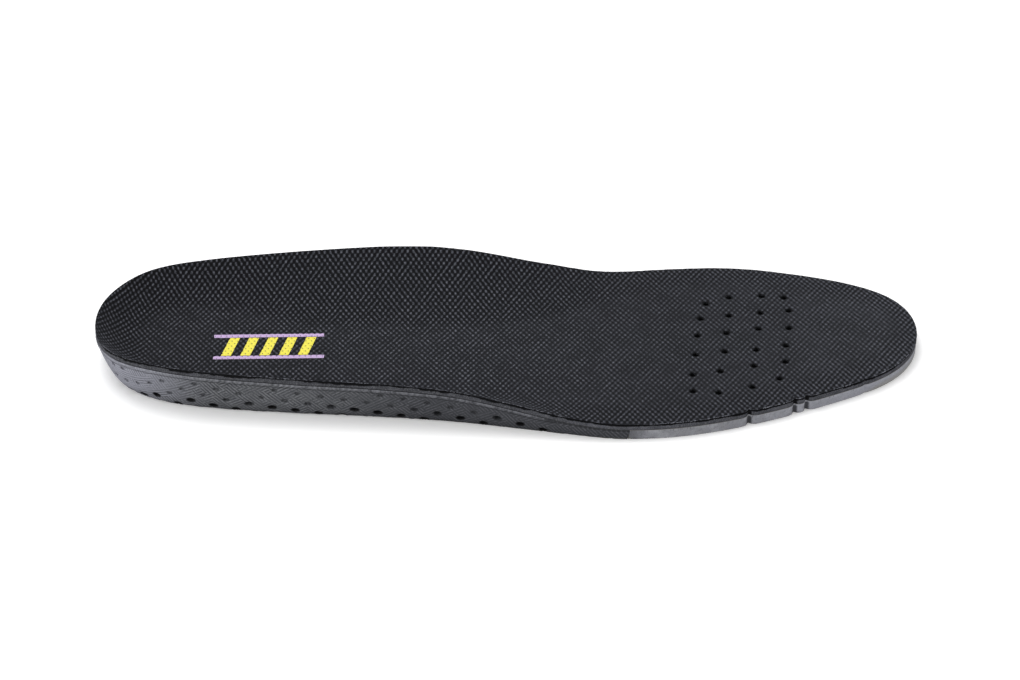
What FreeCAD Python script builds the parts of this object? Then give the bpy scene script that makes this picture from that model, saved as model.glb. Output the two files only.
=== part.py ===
import FreeCAD, Part
import os

"""Cushioned insole for a right shoe: a moulded heel and arch base, a thinner forefoot base, a cloth
cover on a thin backing foam over the whole length, and a gel pad let into the underside of the heel.

Frame: millimetres, +X to the toe, +Y to the inner (arch) side of the foot, +Z up. The sole plane is
z = 0 and the origin is under the middle of the outline. Tabled positions are (distance from the
heel, y); to_frame() moves them into this frame."""

os.makedirs("parts", exist_ok=True)
Vector = FreeCAD.Vector

# ---------------------------------------------------------------- driving dimensions
LENGTH = 285.0  # heel to toe
COVER_T = 0.8  # mesh cloth
BACKING_T = 1.8  # thin foam laminated to the cloth
LAYERS_T = COVER_T + BACKING_T
FLOOR_Z = 6.5  # top of the footbed where it is flat
RIM_LIP = 0.8  # square edge of the moulded base under the backing

GEL_T = 2.6  # heel pad, flush with the sole plane
GEL_BEVEL = 0.6
FRAME_WALL = 1.4  # pocket frame round the pad
FRAME_WEB = 0.6  # its web over the pad
FRAME_DROP = 1.0  # how far its lower edge is set back from the sole plane
POCKET_TOP = GEL_T + FRAME_WEB

VENT_D = 2.4  # breathing holes through the ball of the foot
NOTCH_D = 1.3  # trimming marks on the outer edge at the toe
PANEL_DEPTH = 0.4  # recess in the underside of the waist

LABEL_DEPTH = 0.4  # two rectangular recesses under the forefoot
LABELS = ((210.4, -16.0, 6.7, 13.0), (217.6, -16.0, 1.7, 6.0))  # low corner, length, width

# Printed heel mark: slanted bars between two rails
MARK_CENTRE = (59.5, 1.2)
MARK_T = 0.15
RAIL_L = 38.0
RAIL_W = 1.8
RAIL_OFFSET = 6.4  # mark centre to rail centre, across the foot
BARS = 5
BAR_W = 3.4
BAR_LEAN = 3.6  # toeward shift from the outer to the inner rail
BAR_PITCH = 6.6

# Toe-flex line, which splits the full-length layers and the forefoot base
FLEX_OUTER = (182.0, -46.0)
FLEX_INNER = (206.0, 46.0)

# Sampling of the outline
STATIONS = 120  # evenly spaced round the outline
FINE = 4000  # points on the outline for measuring along it
TANGENT_REACH = 7  # fine points on each side of a station used for its tangent
POLE_PASSES = 40  # refinements of the spline poles

# Cutting tools, all larger than the insole
UNDERCUT = 1.0  # start of the underside recesses below the sole plane
THROUGH_Z = -5.0  # start of the holes and the seam tool
HOLE_H = 30.0
SEAM_H = 40.0
SEAM_REACH_X = 200.0
FLEX_Z = -10.0
FLEX_H = 60.0
FLEX_OVERRUN = 60.0  # past each end of the flex line
FLEX_REACH = 320.0  # away from the flex line

# Rim of the footbed, from the inner side of the heel to the toe and back along the outer side:
# distance from the heel, y, height of the top edge, inset of the sole contact line, bulge of the
# outer wall (0 rounded under, 0.5 straight), width of the inside slope down to the flat floor.
RIM = (
    (31.0, 40.9, 15.4, 8.6, 0.04, 19.5),
    (46.0, 42.0, 16.6, 9.6, 0.10, 22.0),
    (60.0, 42.5, 17.6, 11.3, 0.20, 27.0),
    (76.0, 42.8, 18.6, 13.7, 0.28, 32.0),
    (90.0, 42.85, 19.4, 16.2, 0.31, 34.0),
    (101.5, 42.85, 19.8, 18.4, 0.31, 34.0),
    (114.5, 42.7, 19.7, 20.7, 0.31, 34.0),
    (128.0, 42.4, 18.4, 21.6, 0.31, 34.0),
    (139.0, 42.4, 16.2, 21.6, 0.32, 33.0),
    (146.5, 42.4, 14.4, 21.0, 0.33, 32.0),
    (153.5, 42.5, 12.7, 19.0, 0.34, 30.0),
    (160.5, 42.6, 11.2, 18.2, 0.36, 28.0),
    (167.5, 42.7, 9.6, 13.9, 0.38, 25.0),
    (175.0, 42.9, 8.2, 9.6, 0.40, 22.0),
    (184.5, 43.5, 7.4, 6.0, 0.43, 18.0),
    (191.0, 44.3, 7.1, 4.2, 0.46, 16.0),
    (198.5, 45.2, 6.9, 1.4, 0.49, 15.0),
    (208.0, 46.1, 6.6, 0.0, 0.50, 14.0),
    (222.0, 46.45, 6.3, 0.0, 0.50, 14.0),
    (244.2, 42.5, 6.2, 0.0, 0.50, 14.0),
    (266.9, 34.7, 6.1, 0.0, 0.50, 13.0),
    (279.6, 25.2, 6.0, 0.0, 0.50, 12.0),
    (285.0, 10.8, 6.0, 0.0, 0.50, 12.0),
    (282.6, -3.2, 6.0, 0.0, 0.50, 12.0),
    (273.6, -15.4, 6.1, 0.0, 0.50, 13.0),
    (255.2, -26.4, 6.2, 0.0, 0.50, 14.0),
    (233.0, -35.9, 6.3, 0.0, 0.50, 14.0),
    (210.9, -43.0, 6.3, 0.0, 0.50, 14.0),
    (196.0, -45.8, 6.3, 0.0, 0.50, 14.0),
    (180.0, -46.55, 6.4, 0.1, 0.48, 14.0),
    (163.5, -45.2, 7.8, 1.2, 0.30, 14.0),
    (152.0, -43.4, 9.8, 2.0, 0.15, 14.0),
    (141.5, -41.7, 12.0, 2.6, 0.06, 14.0),
    (130.0, -40.0, 14.2, 3.4, 0.02, 14.0),
    (118.4, -38.5, 15.8, 4.0, 0.02, 14.0),
    (94.9, -36.0, 17.1, 4.5, 0.02, 14.0),
    (71.6, -33.9, 17.6, 4.7, 0.02, 14.5),
    (48.7, -31.4, 18.2, 4.9, 0.02, 15.5),
    (24.1, -26.4, 18.6, 5.2, 0.02, 17.0),
    (6.2, -15.2, 17.3, 6.5, 0.02, 18.0),
    (0.4, 1.5, 15.2, 7.5, 0.02, 18.0),
    (2.4, 18.0, 14.7, 7.6, 0.02, 18.0),
    (9.4, 30.0, 14.6, 7.8, 0.02, 18.0),
    (18.6, 37.6, 14.7, 8.1, 0.02, 18.5),
)

# Joint between the heel and arch base and the forefoot base, from the inner to the outer side
SEAM = (
    (157.6, 54.0), (156.9, 40.0), (155.4, 33.0), (157.0, 26.0), (160.0, 18.5), (162.0, 8.0),
    (160.9, 0.0), (156.8, -12.0), (154.6, -21.0), (155.2, -31.0), (156.9, -38.5), (159.4, -42.6),
    (164.0, -44.1), (170.5, -44.75), (176.5, -45.15), (180.2, -45.7), (181.4, -48.0), (181.8, -54.0),
)

# Outline of the heel gel pad, a closed curve
GEL = (
    (19.2, 8.0), (22.0, 14.9), (26.7, 19.9), (34.3, 23.0), (43.4, 23.9), (53.2, 23.1),
    (62.9, 21.5), (71.6, 19.5), (77.4, 17.2), (80.0, 13.6), (80.7, 8.0), (80.2, 0.2),
    (79.3, -7.4), (78.4, -13.4), (76.6, -18.0), (72.8, -20.6), (67.0, -21.4), (58.6, -21.0),
    (48.8, -20.2), (39.1, -18.8), (31.7, -16.3), (25.5, -12.1), (21.3, -6.6), (19.2, 0.6),
)

# Corners of the waist panel, joined by straight lines; its toe end runs past the seam
PANEL = (
    (91.7, 8.7), (105.2, 6.0), (117.9, 3.6), (130.7, 1.8), (143.6, 0.9), (166.0, 0.6),
    (166.0, -21.6), (154.2, -20.9), (139.7, -19.8), (126.7, -18.6), (107.4, -16.2),
)

# Hole centres
VENTS = (
    (232.9, 28.4), (240.6, 27.3), (221.3, 27.9), (212.7, 24.1), (241.5, 19.2), (231.4, 18.1),
    (220.1, 16.6), (210.1, 14.9), (240.4, 8.6), (229.7, 8.4), (218.3, 6.0), (208.0, 4.6),
    (238.2, -2.0), (227.6, -4.3), (216.6, -5.1), (206.4, -6.8), (237.0, -11.6), (225.9, -13.8),
    (214.0, -16.7), (204.4, -18.5), (233.8, -21.4), (224.1, -26.1), (212.3, -29.1), (203.6, -28.1),
)
NOTCHES = ((222.1, -39.6), (238.2, -33.9), (242.6, -32.1), (263.4, -22.3))


# ---------------------------------------------------------------- outline
def closed_curve(points, z=0.0):
    """Closed cubic curve through (x, y) points at one height."""
    curve = Part.BSplineCurve()
    curve.interpolate(Points=[Vector(x, y, z) for x, y in points], PeriodicFlag=True)
    return curve


outline = closed_curve([row[:2] for row in RIM])
first, last = outline.FirstParameter, outline.LastParameter
tabled = [outline.value(first + (last - first) * i / FINE) for i in range(FINE)]
x_low, x_high = min(p.x for p in tabled), max(p.x for p in tabled)
y_low, y_high = min(p.y for p in tabled), max(p.y for p in tabled)
STRETCH = LENGTH / (x_high - x_low)  # brings the curve through the rim points to LENGTH
MID_X, MID_Y = (x_low + x_high) / 2, (y_low + y_high) / 2


def to_frame(x, y):
    """Tabled position in the part frame."""
    return (x - MID_X) * STRETCH, (y - MID_Y) * STRETCH


fine = [Vector(*to_frame(p.x, p.y), 0) for p in tabled]
run = [0.0]  # distance along the outline to each fine point
for i in range(FINE):
    run.append(run[-1] + (fine[(i + 1) % FINE] - fine[i]).Length)
GIRTH = run[-1]


def distance_along(x, y):
    """Distance along the outline to the fine point nearest a tabled position."""
    target = Vector(*to_frame(x, y), 0)
    return run[min(range(FINE), key=lambda i: (fine[i] - target).Length)]


rim_runs = [0.0] + [distance_along(*row[:2]) for row in RIM[1:]]


# ---------------------------------------------------------------- stations
def at_stations(values):
    """Rim values at the stations, by a closed monotone cubic that never overshoots the table."""
    n = len(values)
    gaps = [(rim_runs[(i + 1) % n] - rim_runs[i]) % GIRTH for i in range(n)]
    rises = [(values[(i + 1) % n] - values[i]) / gaps[i] for i in range(n)]
    slopes = []
    for i in range(n):
        before, after = rises[i - 1], rises[i]
        if before * after <= 0:
            slopes.append(0.0)
        else:
            w1 = 2 * gaps[i] + gaps[i - 1]
            w2 = gaps[i] + 2 * gaps[i - 1]
            slopes.append((w1 + w2) / (w1 / before + w2 / after))

    samples = []
    for station in range(STATIONS):
        distance = GIRTH * station / STATIONS
        for i in range(n):
            t = (distance - rim_runs[i]) % GIRTH
            if t <= gaps[i]:
                break
        t = t / gaps[i]
        samples.append(
            values[i] * (1 + 2 * t) * (1 - t) ** 2
            + gaps[i] * slopes[i] * t * (1 - t) ** 2
            + values[(i + 1) % n] * t * t * (3 - 2 * t)
            - gaps[i] * slopes[(i + 1) % n] * t * t * (1 - t)
        )
    return samples


rim_points = []
inward = []  # unit normals toward the inside of the outline
j = 0
for i in range(STATIONS):
    distance = GIRTH * i / STATIONS
    while run[j + 1] < distance:
        j += 1
    f = (distance - run[j]) / (run[j + 1] - run[j])
    rim_points.append(fine[j] * (1 - f) + fine[(j + 1) % FINE] * f)
    tangent = fine[(j + 1 + TANGENT_REACH) % FINE] - fine[(j - TANGENT_REACH) % FINE]
    tangent.normalize()
    inward.append(Vector(tangent.y, -tangent.x, 0))

tops, contact_insets, bulges, slope_widths = [
    at_stations([row[k] for row in RIM]) for k in range(2, 6)
]


# ---------------------------------------------------------------- lofted layers
def level(value):
    """The same value at every station."""
    return [value] * STATIONS


def ring(insets, heights):
    """Points round the insole, each moved in from the rim and set to its height."""
    return [
        Vector(p.x + n.x * inset, p.y + n.y * inset, z)
        for p, n, inset, z in zip(rim_points, inward, insets, heights)
    ]


def poles(points):
    """Poles of the closed uniform cubic that passes through the points."""
    n = len(points)
    result = list(points)
    for _ in range(POLE_PASSES):
        result = [
            result[i] + points[i]
            - (result[i - 1] + result[i] * 4 + result[(i + 1) % n]) * (1 / 6)
            for i in range(n)
        ]
    return result


RING_KNOTS = [i / STATIONS for i in range(STATIONS + 1)]
RING_MULTS = [1] * (STATIONS + 1)


def band(*rings):
    """Face through a stack of rings, straight for two and curved for three."""
    n = len(rings)
    surface = Part.BSplineSurface()
    surface.buildFromPolesMultsKnots(
        [poles(r) for r in rings], [n, n], RING_MULTS, [0.0, 1.0], RING_KNOTS,
        False, True, n - 1, 3,
    )
    return surface.toShape()


def lid(points):
    """Flat face inside a ring."""
    curve = Part.BSplineCurve()
    curve.buildFromPolesMultsKnots(poles(points), RING_MULTS, RING_KNOTS, True, 3)
    return Part.Face(Part.Wire([curve.toShape()]))


def solid(faces):
    shell = Part.Shell(faces)
    shell.sewShape()
    # sewing may wrap the shell in a compound
    body = Part.Solid(shell if shell.ShapeType == "Shell" else shell.Shells[0])
    if body.Volume < 0:
        body.reverse()
    return body


def bed_rings(drop):
    """Rim, mid-slope and floor rings of the footbed surface, lowered by drop."""
    return (
        ring(level(0.0), [z - drop for z in tops]),
        ring([width / 2 for width in slope_widths], level(FLOOR_Z - drop)),
        ring(slope_widths, level(FLOOR_Z - drop)),
    )


def make_layer(top_drop, bottom_drop):
    """One laminated layer that follows the footbed."""
    top, bottom = bed_rings(top_drop), bed_rings(bottom_drop)
    return solid([band(*top), lid(top[2]), band(top[0], bottom[0]), band(*bottom), lid(bottom[2])])


def make_base():
    """Whole moulded base, from under the backing to the sole plane."""
    bed = bed_rings(LAYERS_T)
    lip_heights = [z - LAYERS_T - RIM_LIP for z in tops]
    lip = ring(level(0.0), lip_heights)
    turn = ring([d / 2 for d in contact_insets], [z * b for z, b in zip(lip_heights, bulges)])
    contact = ring(contact_insets, level(0.0))
    return solid(
        [band(*bed), lid(bed[2]), band(bed[0], lip), band(lip, turn, contact), lid(contact)]
    )


# ---------------------------------------------------------------- cutting tools
def polygon_prism(corners, height):
    """Upright prism on a straight-sided outline."""
    return Part.Face(Part.makePolygon(corners + [corners[0]])).extrude(Vector(0, 0, height))


def curved_prism(points, z0, z1):
    """Upright prism on a closed curve."""
    wire = Part.Wire([closed_curve(points, z0).toShape()])
    return Part.Face(wire).extrude(Vector(0, 0, z1 - z0))


def grown(points, amount):
    """The closed outline moved outward along its own curve's normals."""
    curve = closed_curve(points)
    centre_x = sum(p[0] for p in points) / len(points)
    centre_y = sum(p[1] for p in points) / len(points)
    moved = []
    for x, y in points:
        tangent = curve.tangent(curve.parameter(Vector(x, y, 0)))[0]
        normal = Vector(tangent.y, -tangent.x, 0)
        if normal.x * (x - centre_x) + normal.y * (y - centre_y) < 0:
            normal = normal * -1
        moved.append((x + normal.x * amount, y + normal.y * amount))
    return moved


def make_fore_of_seam():
    """Block covering everything toeward of the seam."""
    curve = Part.BSplineCurve()
    curve.interpolate([Vector(*to_frame(x, y), THROUGH_Z) for x, y in SEAM])
    inner, outer = curve.value(curve.FirstParameter), curve.value(curve.LastParameter)
    corners = [
        outer,
        Vector(SEAM_REACH_X, outer.y, THROUGH_Z),
        Vector(SEAM_REACH_X, inner.y, THROUGH_Z),
        inner,
    ]
    lines = [Part.makeLine(a, b) for a, b in zip(corners, corners[1:])]
    return Part.Face(Part.Wire([curve.toShape()] + lines)).extrude(Vector(0, 0, SEAM_H))


def side_of_flex(sign):
    """Block on the toe side (1) or the heel side (-1) of the flex line."""
    outer, inner = Vector(*to_frame(*FLEX_OUTER), FLEX_Z), Vector(*to_frame(*FLEX_INNER), FLEX_Z)
    along = (inner - outer).normalize()
    start, end = outer - along * FLEX_OVERRUN, inner + along * FLEX_OVERRUN
    away = Vector(along.y, -along.x, 0) * (sign * FLEX_REACH)
    return polygon_prism([start, end, end + away, start + away], FLEX_H)


def holes(centres, diameter):
    return [
        Part.makeCylinder(diameter / 2, HOLE_H, Vector(*to_frame(x, y), THROUGH_Z))
        for x, y in centres
    ]


fore_of_seam = make_fore_of_seam()
rear_side, fore_side = side_of_flex(-1), side_of_flex(1)
fore_cuts = holes(VENTS, VENT_D) + holes(NOTCHES, NOTCH_D)
gel_line = [to_frame(x, y) for x, y in GEL]
frame_line = grown(gel_line, FRAME_WALL)


# ---------------------------------------------------------------- parts
def split_at_flex(body):
    """Rear part, and fore part with its vents and notches."""
    return body.common(rear_side), body.common(fore_side).cut(fore_cuts)


def make_heel_arch(base):
    """Heel and arch base with the gel pocket and the waist panel."""
    body = base.cut(fore_of_seam)
    body = body.cut(curved_prism(frame_line, -UNDERCUT, POCKET_TOP))
    corners = [Vector(*to_frame(x, y), -UNDERCUT) for x, y in PANEL]
    return body.cut(polygon_prism(corners, PANEL_DEPTH + UNDERCUT))


def make_gel():
    """Heel pad, bevelled round its lower edge."""
    pad = curved_prism(gel_line, 0.0, GEL_T)
    low_edges = [e for e in pad.Edges if e.BoundBox.ZMax < 1e-6]
    return pad.makeChamfer(GEL_BEVEL, low_edges)


def make_frame():
    """Pocket frame: a wall round the gel pad and a web over it."""
    block = curved_prism(frame_line, FRAME_DROP, POCKET_TOP)
    return block.cut(curved_prism(gel_line, -UNDERCUT, GEL_T))


def cut_labels(body):
    """Body with the two rectangular recesses in its underside."""
    return body.cut([
        Part.makeBox(length, width, UNDERCUT + LABEL_DEPTH, Vector(*to_frame(x, y), -UNDERCUT))
        for x, y, length, width in LABELS
    ])


def make_mark():
    """Slanted bars between two rails, on the footbed floor."""
    centre_x, centre_y = to_frame(*MARK_CENTRE)
    low_y, high_y = centre_y - RAIL_OFFSET, centre_y + RAIL_OFFSET
    rails = [
        Part.makeBox(RAIL_L, RAIL_W, MARK_T, Vector(centre_x - RAIL_L / 2, y - RAIL_W / 2, FLOOR_Z))
        for y in (low_y, high_y)
    ]
    bars = []
    for i in range(BARS):
        x = centre_x + (i - (BARS - 1) / 2) * BAR_PITCH
        low_x, high_x = x - BAR_LEAN / 2, x + BAR_LEAN / 2
        corners = [
            Vector(low_x - BAR_W / 2, low_y, FLOOR_Z),
            Vector(low_x + BAR_W / 2, low_y, FLOOR_Z),
            Vector(high_x + BAR_W / 2, high_y, FLOOR_Z),
            Vector(high_x - BAR_W / 2, high_y, FLOOR_Z),
        ]
        bars.append(polygon_prism(corners, MARK_T))
    return rails[0].fuse(rails[1:] + bars).removeSplitter()


base = make_base()
cover_rear, cover_fore = split_at_flex(make_layer(0.0, COVER_T))
backing_rear, backing_fore = split_at_flex(make_layer(COVER_T, LAYERS_T))
forefoot_rear, forefoot_fore = split_at_flex(base.common(fore_of_seam))

# ---------------------------------------------------------------- write the parts
NODES = {
    "top_cover_rear": cover_rear,
    "backing_foam_rear": backing_rear,
    "heel_arch_base": make_heel_arch(base),
    "forefoot_base_rear": forefoot_rear,
    "heel_gel_pad": make_gel(),
    "gel_pocket_frame": make_frame(),
    "heel_transfer_mark": make_mark(),
    "top_cover_fore": cover_fore,
    "backing_foam_fore": backing_fore,
    "forefoot_base_fore": cut_labels(forefoot_fore),
}
for name, shape in NODES.items():
    if len(shape.Solids) != 1 or not shape.Solids[0].isValid():
        raise RuntimeError("%s is not one valid solid" % name)
    shape.Solids[0].exportStep("parts/%s.step" % name)
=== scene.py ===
# A moulded insole: knitted cover cloth, foam backing, a perforated heel and arch base, a ribbed
# forefoot base, and a blue gel pad in a navy frame under the heel. It lies centred on the origin
# with its sole on z = 0: heel toward -X, toe toward +X, arch (inner) side toward +Y.
# Shapes are worked out in millimetres and turned into metres when a mesh is made.
import math

import bpy
import numpy as np
from mathutils import Matrix, Vector
from mathutils.geometry import delaunay_2d_cdt
from mathutils.kdtree import KDTree


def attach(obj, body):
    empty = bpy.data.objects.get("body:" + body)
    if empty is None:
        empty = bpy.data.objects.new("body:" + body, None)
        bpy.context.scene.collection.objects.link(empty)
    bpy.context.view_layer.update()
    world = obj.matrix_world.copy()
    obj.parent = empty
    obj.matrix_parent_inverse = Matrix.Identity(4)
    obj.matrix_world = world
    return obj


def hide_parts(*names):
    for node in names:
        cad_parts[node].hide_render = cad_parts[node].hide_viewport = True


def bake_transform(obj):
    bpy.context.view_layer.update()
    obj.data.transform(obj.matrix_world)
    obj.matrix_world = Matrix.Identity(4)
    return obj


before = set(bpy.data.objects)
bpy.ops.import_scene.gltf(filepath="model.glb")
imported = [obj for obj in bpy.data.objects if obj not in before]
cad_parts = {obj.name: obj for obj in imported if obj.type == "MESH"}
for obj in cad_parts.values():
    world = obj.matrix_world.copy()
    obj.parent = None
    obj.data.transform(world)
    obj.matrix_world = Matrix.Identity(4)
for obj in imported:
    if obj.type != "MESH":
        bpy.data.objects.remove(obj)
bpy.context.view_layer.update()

MM = 0.001

# ---------------------------------------------------------------- sizes and outlines (mm)
LENGTH = 285.0
COVER_T, BACKING_T = 0.8, 1.8
LAYERS = COVER_T + BACKING_T
FLOOR_Z = 6.5  # level part of the footbed
RIM_LIP = 0.8  # height of the bases' upright edge under the backing
GEL_T, FRAME_WALL, FRAME_WEB, FRAME_DROP = 2.6, 1.4, 0.6, 1.0
POCKET = GEL_T + FRAME_WEB
VENT_R, VENT_SIDES = 1.2, 16
HOLE_SIDES = 12
LIP_FRONT = 15.5  # x where the rear base's proud lip has faded out

# The outlines below have x from the heel and y from a lengthwise line; place() centres them.

# Rim, clockwise from above: x, y, height, inset of the sole's level part,
# bulge of the sole's wall, width of the footbed's slope
RIM = np.array((
    (31.0, 40.9, 15.4, 8.6, 0.04, 19.5), (46.0, 42.0, 16.6, 9.6, 0.10, 22.0),
    (60.0, 42.5, 17.6, 11.3, 0.20, 27.0), (76.0, 42.8, 18.6, 13.7, 0.28, 32.0),
    (90.0, 42.85, 19.4, 16.2, 0.31, 34.0), (101.5, 42.85, 19.8, 18.4, 0.31, 34.0),
    (114.5, 42.7, 19.7, 20.7, 0.31, 34.0), (128.0, 42.4, 18.4, 21.6, 0.31, 34.0),
    (139.0, 42.4, 16.2, 21.6, 0.32, 33.0), (146.5, 42.4, 14.4, 21.0, 0.33, 32.0),
    (153.5, 42.5, 12.7, 19.0, 0.34, 30.0), (160.5, 42.6, 11.2, 18.2, 0.36, 28.0),
    (167.5, 42.7, 9.6, 13.9, 0.38, 25.0), (175.0, 42.9, 8.2, 9.6, 0.40, 22.0),
    (184.5, 43.5, 7.4, 6.0, 0.43, 18.0), (191.0, 44.3, 7.1, 4.2, 0.46, 16.0),
    (198.5, 45.2, 6.9, 1.4, 0.49, 15.0), (208.0, 46.1, 6.6, 0.0, 0.50, 14.0),
    (222.0, 46.45, 6.3, 0.0, 0.50, 14.0), (244.2, 42.5, 6.2, 0.0, 0.50, 14.0),
    (266.9, 34.7, 6.1, 0.0, 0.50, 13.0), (279.6, 25.2, 6.0, 0.0, 0.50, 12.0),
    (285.0, 10.8, 6.0, 0.0, 0.50, 12.0), (282.6, -3.2, 6.0, 0.0, 0.50, 12.0),
    (273.6, -15.4, 6.1, 0.0, 0.50, 13.0), (255.2, -26.4, 6.2, 0.0, 0.50, 14.0),
    (233.0, -35.9, 6.3, 0.0, 0.50, 14.0), (210.9, -43.0, 6.3, 0.0, 0.50, 14.0),
    (196.0, -45.8, 6.3, 0.0, 0.50, 14.0), (180.0, -46.55, 6.4, 0.1, 0.48, 14.0),
    (163.5, -45.2, 7.8, 1.2, 0.30, 14.0), (152.0, -43.4, 9.8, 2.0, 0.15, 14.0),
    (141.5, -41.7, 12.0, 2.6, 0.06, 14.0), (130.0, -40.0, 14.2, 3.4, 0.02, 14.0),
    (118.4, -38.5, 15.8, 4.0, 0.02, 14.0), (94.9, -36.0, 17.1, 4.5, 0.02, 14.0),
    (71.6, -33.9, 17.6, 4.7, 0.02, 14.5), (48.7, -31.4, 18.2, 4.9, 0.02, 15.5),
    (24.1, -26.4, 18.6, 5.2, 0.02, 17.0), (6.2, -15.2, 17.3, 6.5, 0.02, 18.0),
    (0.4, 1.5, 15.2, 7.5, 0.02, 18.0), (2.4, 18.0, 14.7, 7.6, 0.02, 18.0),
    (9.4, 30.0, 14.6, 7.8, 0.02, 18.0), (18.6, 37.6, 14.7, 8.1, 0.02, 18.5),
))
# Seam between the two bases, from the inner side to the outer: x, y
SEAM = np.array((
    (157.6, 54.0), (156.9, 40.0), (155.4, 33.0), (157.0, 26.0), (160.0, 18.5), (162.0, 8.0),
    (160.9, 0.0), (156.8, -12.0), (154.6, -21.0), (155.2, -31.0), (156.9, -38.5), (159.4, -42.6),
    (164.0, -44.1), (170.5, -44.75), (176.5, -45.15), (180.2, -45.7), (181.4, -48.0),
    (181.8, -54.0)))
# Gel pad, closed outline: x, y
GEL = np.array((
    (19.2, 8.0), (22.0, 14.9), (26.7, 19.9), (34.3, 23.0), (43.4, 23.9), (53.2, 23.1),
    (62.9, 21.5), (71.6, 19.5), (77.4, 17.2), (80.0, 13.6), (80.7, 8.0), (80.2, 0.2),
    (79.3, -7.4), (78.4, -13.4), (76.6, -18.0), (72.8, -20.6), (67.0, -21.4), (58.6, -21.0),
    (48.8, -20.2), (39.1, -18.8), (31.7, -16.3), (25.5, -12.1), (21.3, -6.6), (19.2, 0.6)))
# Sunk panel of the arch: x, y. The first PANEL_INNER points are its edge toward +Y and the front.
PANEL = np.array((
    (91.7, 8.7), (105.2, 6.0), (117.9, 3.6), (130.7, 1.8), (143.6, 0.9), (170.0, 0.6),
    (170.0, -21.9), (154.2, -20.9), (139.7, -19.8), (126.7, -18.6), (107.4, -16.2)))
PANEL_INNER = 6
# Raised line on the +Y side of the arch and groove on the -Y side: x, y
RIDGE = np.array((
    (81.5, 19.9), (95.3, 18.4), (107.4, 17.2), (117.7, 16.0), (127.2, 15.5), (136.9, 15.8),
    (145.8, 16.8), (154.0, 18.6), (158.5, 20.4)))
GROOVE = np.array((
    (78.5, -24.9), (94.2, -25.8), (107.5, -27.2), (122.8, -29.8), (136.5, -32.2), (151.7, -35.0)))
# Centres of the vents through the forefoot: x, y
VENTS = np.array((
    (232.9, 28.4), (240.6, 27.3), (221.3, 27.9), (212.7, 24.1), (241.5, 19.2), (231.4, 18.1),
    (220.1, 16.6), (210.1, 14.9), (240.4, 8.6), (229.7, 8.4), (218.3, 6.0), (208.0, 4.6),
    (238.2, -2.0), (227.6, -4.3), (216.6, -5.1), (206.4, -6.8), (237.0, -11.6), (225.9, -13.8),
    (214.0, -16.7), (204.4, -18.5), (233.8, -21.4), (224.1, -26.1), (212.3, -29.1),
    (203.6, -28.1)))
# Trim notches in the forefoot's outer edge: x, y, depth
NOTCHES = np.array((
    (222.1, -39.6, 1.25), (238.2, -33.9, 1.15), (242.6, -32.1, 1.25), (263.4, -22.3, 0.30)))
SHADED_NOTCHES = 3  # the last notch is too shallow to darken

# Repeats of the cover's knit along x and y, and how far it is turned
KNIT_X, KNIT_Y, KNIT_TURN = 0.98, 1.50, math.radians(-1.0)
KNIT_SKEW = 0.50  # how unevenly the two diagonals pull
# Cycles per mm along x and y of the patterns moulded into the sole
HATCH_A, HATCH_B = (0.387, 0.469), (0.488, -0.449)
RIBS, CROSS_RIBS = (0.40642, 0.48780), (0.453, -0.469)
RIB_TURN, RIB_PITCH = math.radians(-39.8), 1.575

# Printed heel mark: two rails with leaning bars between them
PRINT_CENTRE = (59.5, 1.2)
RAIL_L, RAIL_W, RAIL_Y = 38.0, 1.8, 6.4
BARS, BAR_W, BAR_PITCH, BAR_LEAN, BAR_GAP = 5, 3.4, 6.6, 3.6, 0.25


# ---------------------------------------------------------------- curves
def spline(points, count, closed=True):
    """Cubic through the points, spaced by chord length; natural at its ends when open."""
    p = np.asarray(points, float)
    n = len(p)
    chord = np.linalg.norm(np.roll(p, -1, 0) - p, axis=1)[:n if closed else n - 1]
    system = np.zeros((n, n)) if closed else np.eye(n)
    target = np.zeros_like(p)
    for i in range(n) if closed else range(1, n - 1):
        j, k = (i - 1) % n, (i + 1) % n
        system[i, j], system[i, i], system[i, k] = chord[j], 2 * (chord[j] + chord[i]), chord[i]
        target[i] = 6 * ((p[k] - p[i]) / chord[i] - (p[i] - p[j]) / chord[j])
    bend = np.linalg.solve(system, target)
    knots = np.r_[0, np.cumsum(chord)]
    t = knots[-1] * np.arange(count) / count if closed else np.linspace(0, knots[-1], count)
    i = np.minimum(np.searchsorted(knots, t, side="right") - 1, len(chord) - 1)
    k = (i + 1) % n
    past, span = (t - knots[i])[:, None], chord[i][:, None]
    left = span - past
    return ((bend[i] * left**3 + bend[k] * past**3) / (6 * span)
            + (p[i] / span - bend[i] * span / 6) * left
            + (p[k] / span - bend[k] * span / 6) * past)


def distances(line):
    """Distance along an open line at each of its points."""
    return np.r_[0, np.cumsum(np.linalg.norm(np.diff(line, axis=0), axis=1))]


def points_at(line, run, t):
    return np.stack([np.interp(t, run, line[:, k]) for k in (0, 1)], 1)


def resample(line, gap, closed=False):
    line = np.asarray(line, float)
    if closed:
        line = np.vstack([line, line[:1]])
    run = distances(line)
    out = points_at(line, run, np.linspace(0, run[-1], int(run[-1] / gap) + 1))
    return out[:-1] if closed else out


def grow(line, amount):
    """A closed line moved outward."""
    tangent = np.roll(line, -1, 0) - np.roll(line, 1, 0)
    tangent /= np.linalg.norm(tangent, axis=1)[:, None]
    normal = np.stack([tangent[:, 1], -tangent[:, 0]], 1)
    middle = line.mean(0)
    if ((line + normal - middle) ** 2).sum() < ((line - middle) ** 2).sum():
        normal = -normal
    return line + normal * amount


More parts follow.
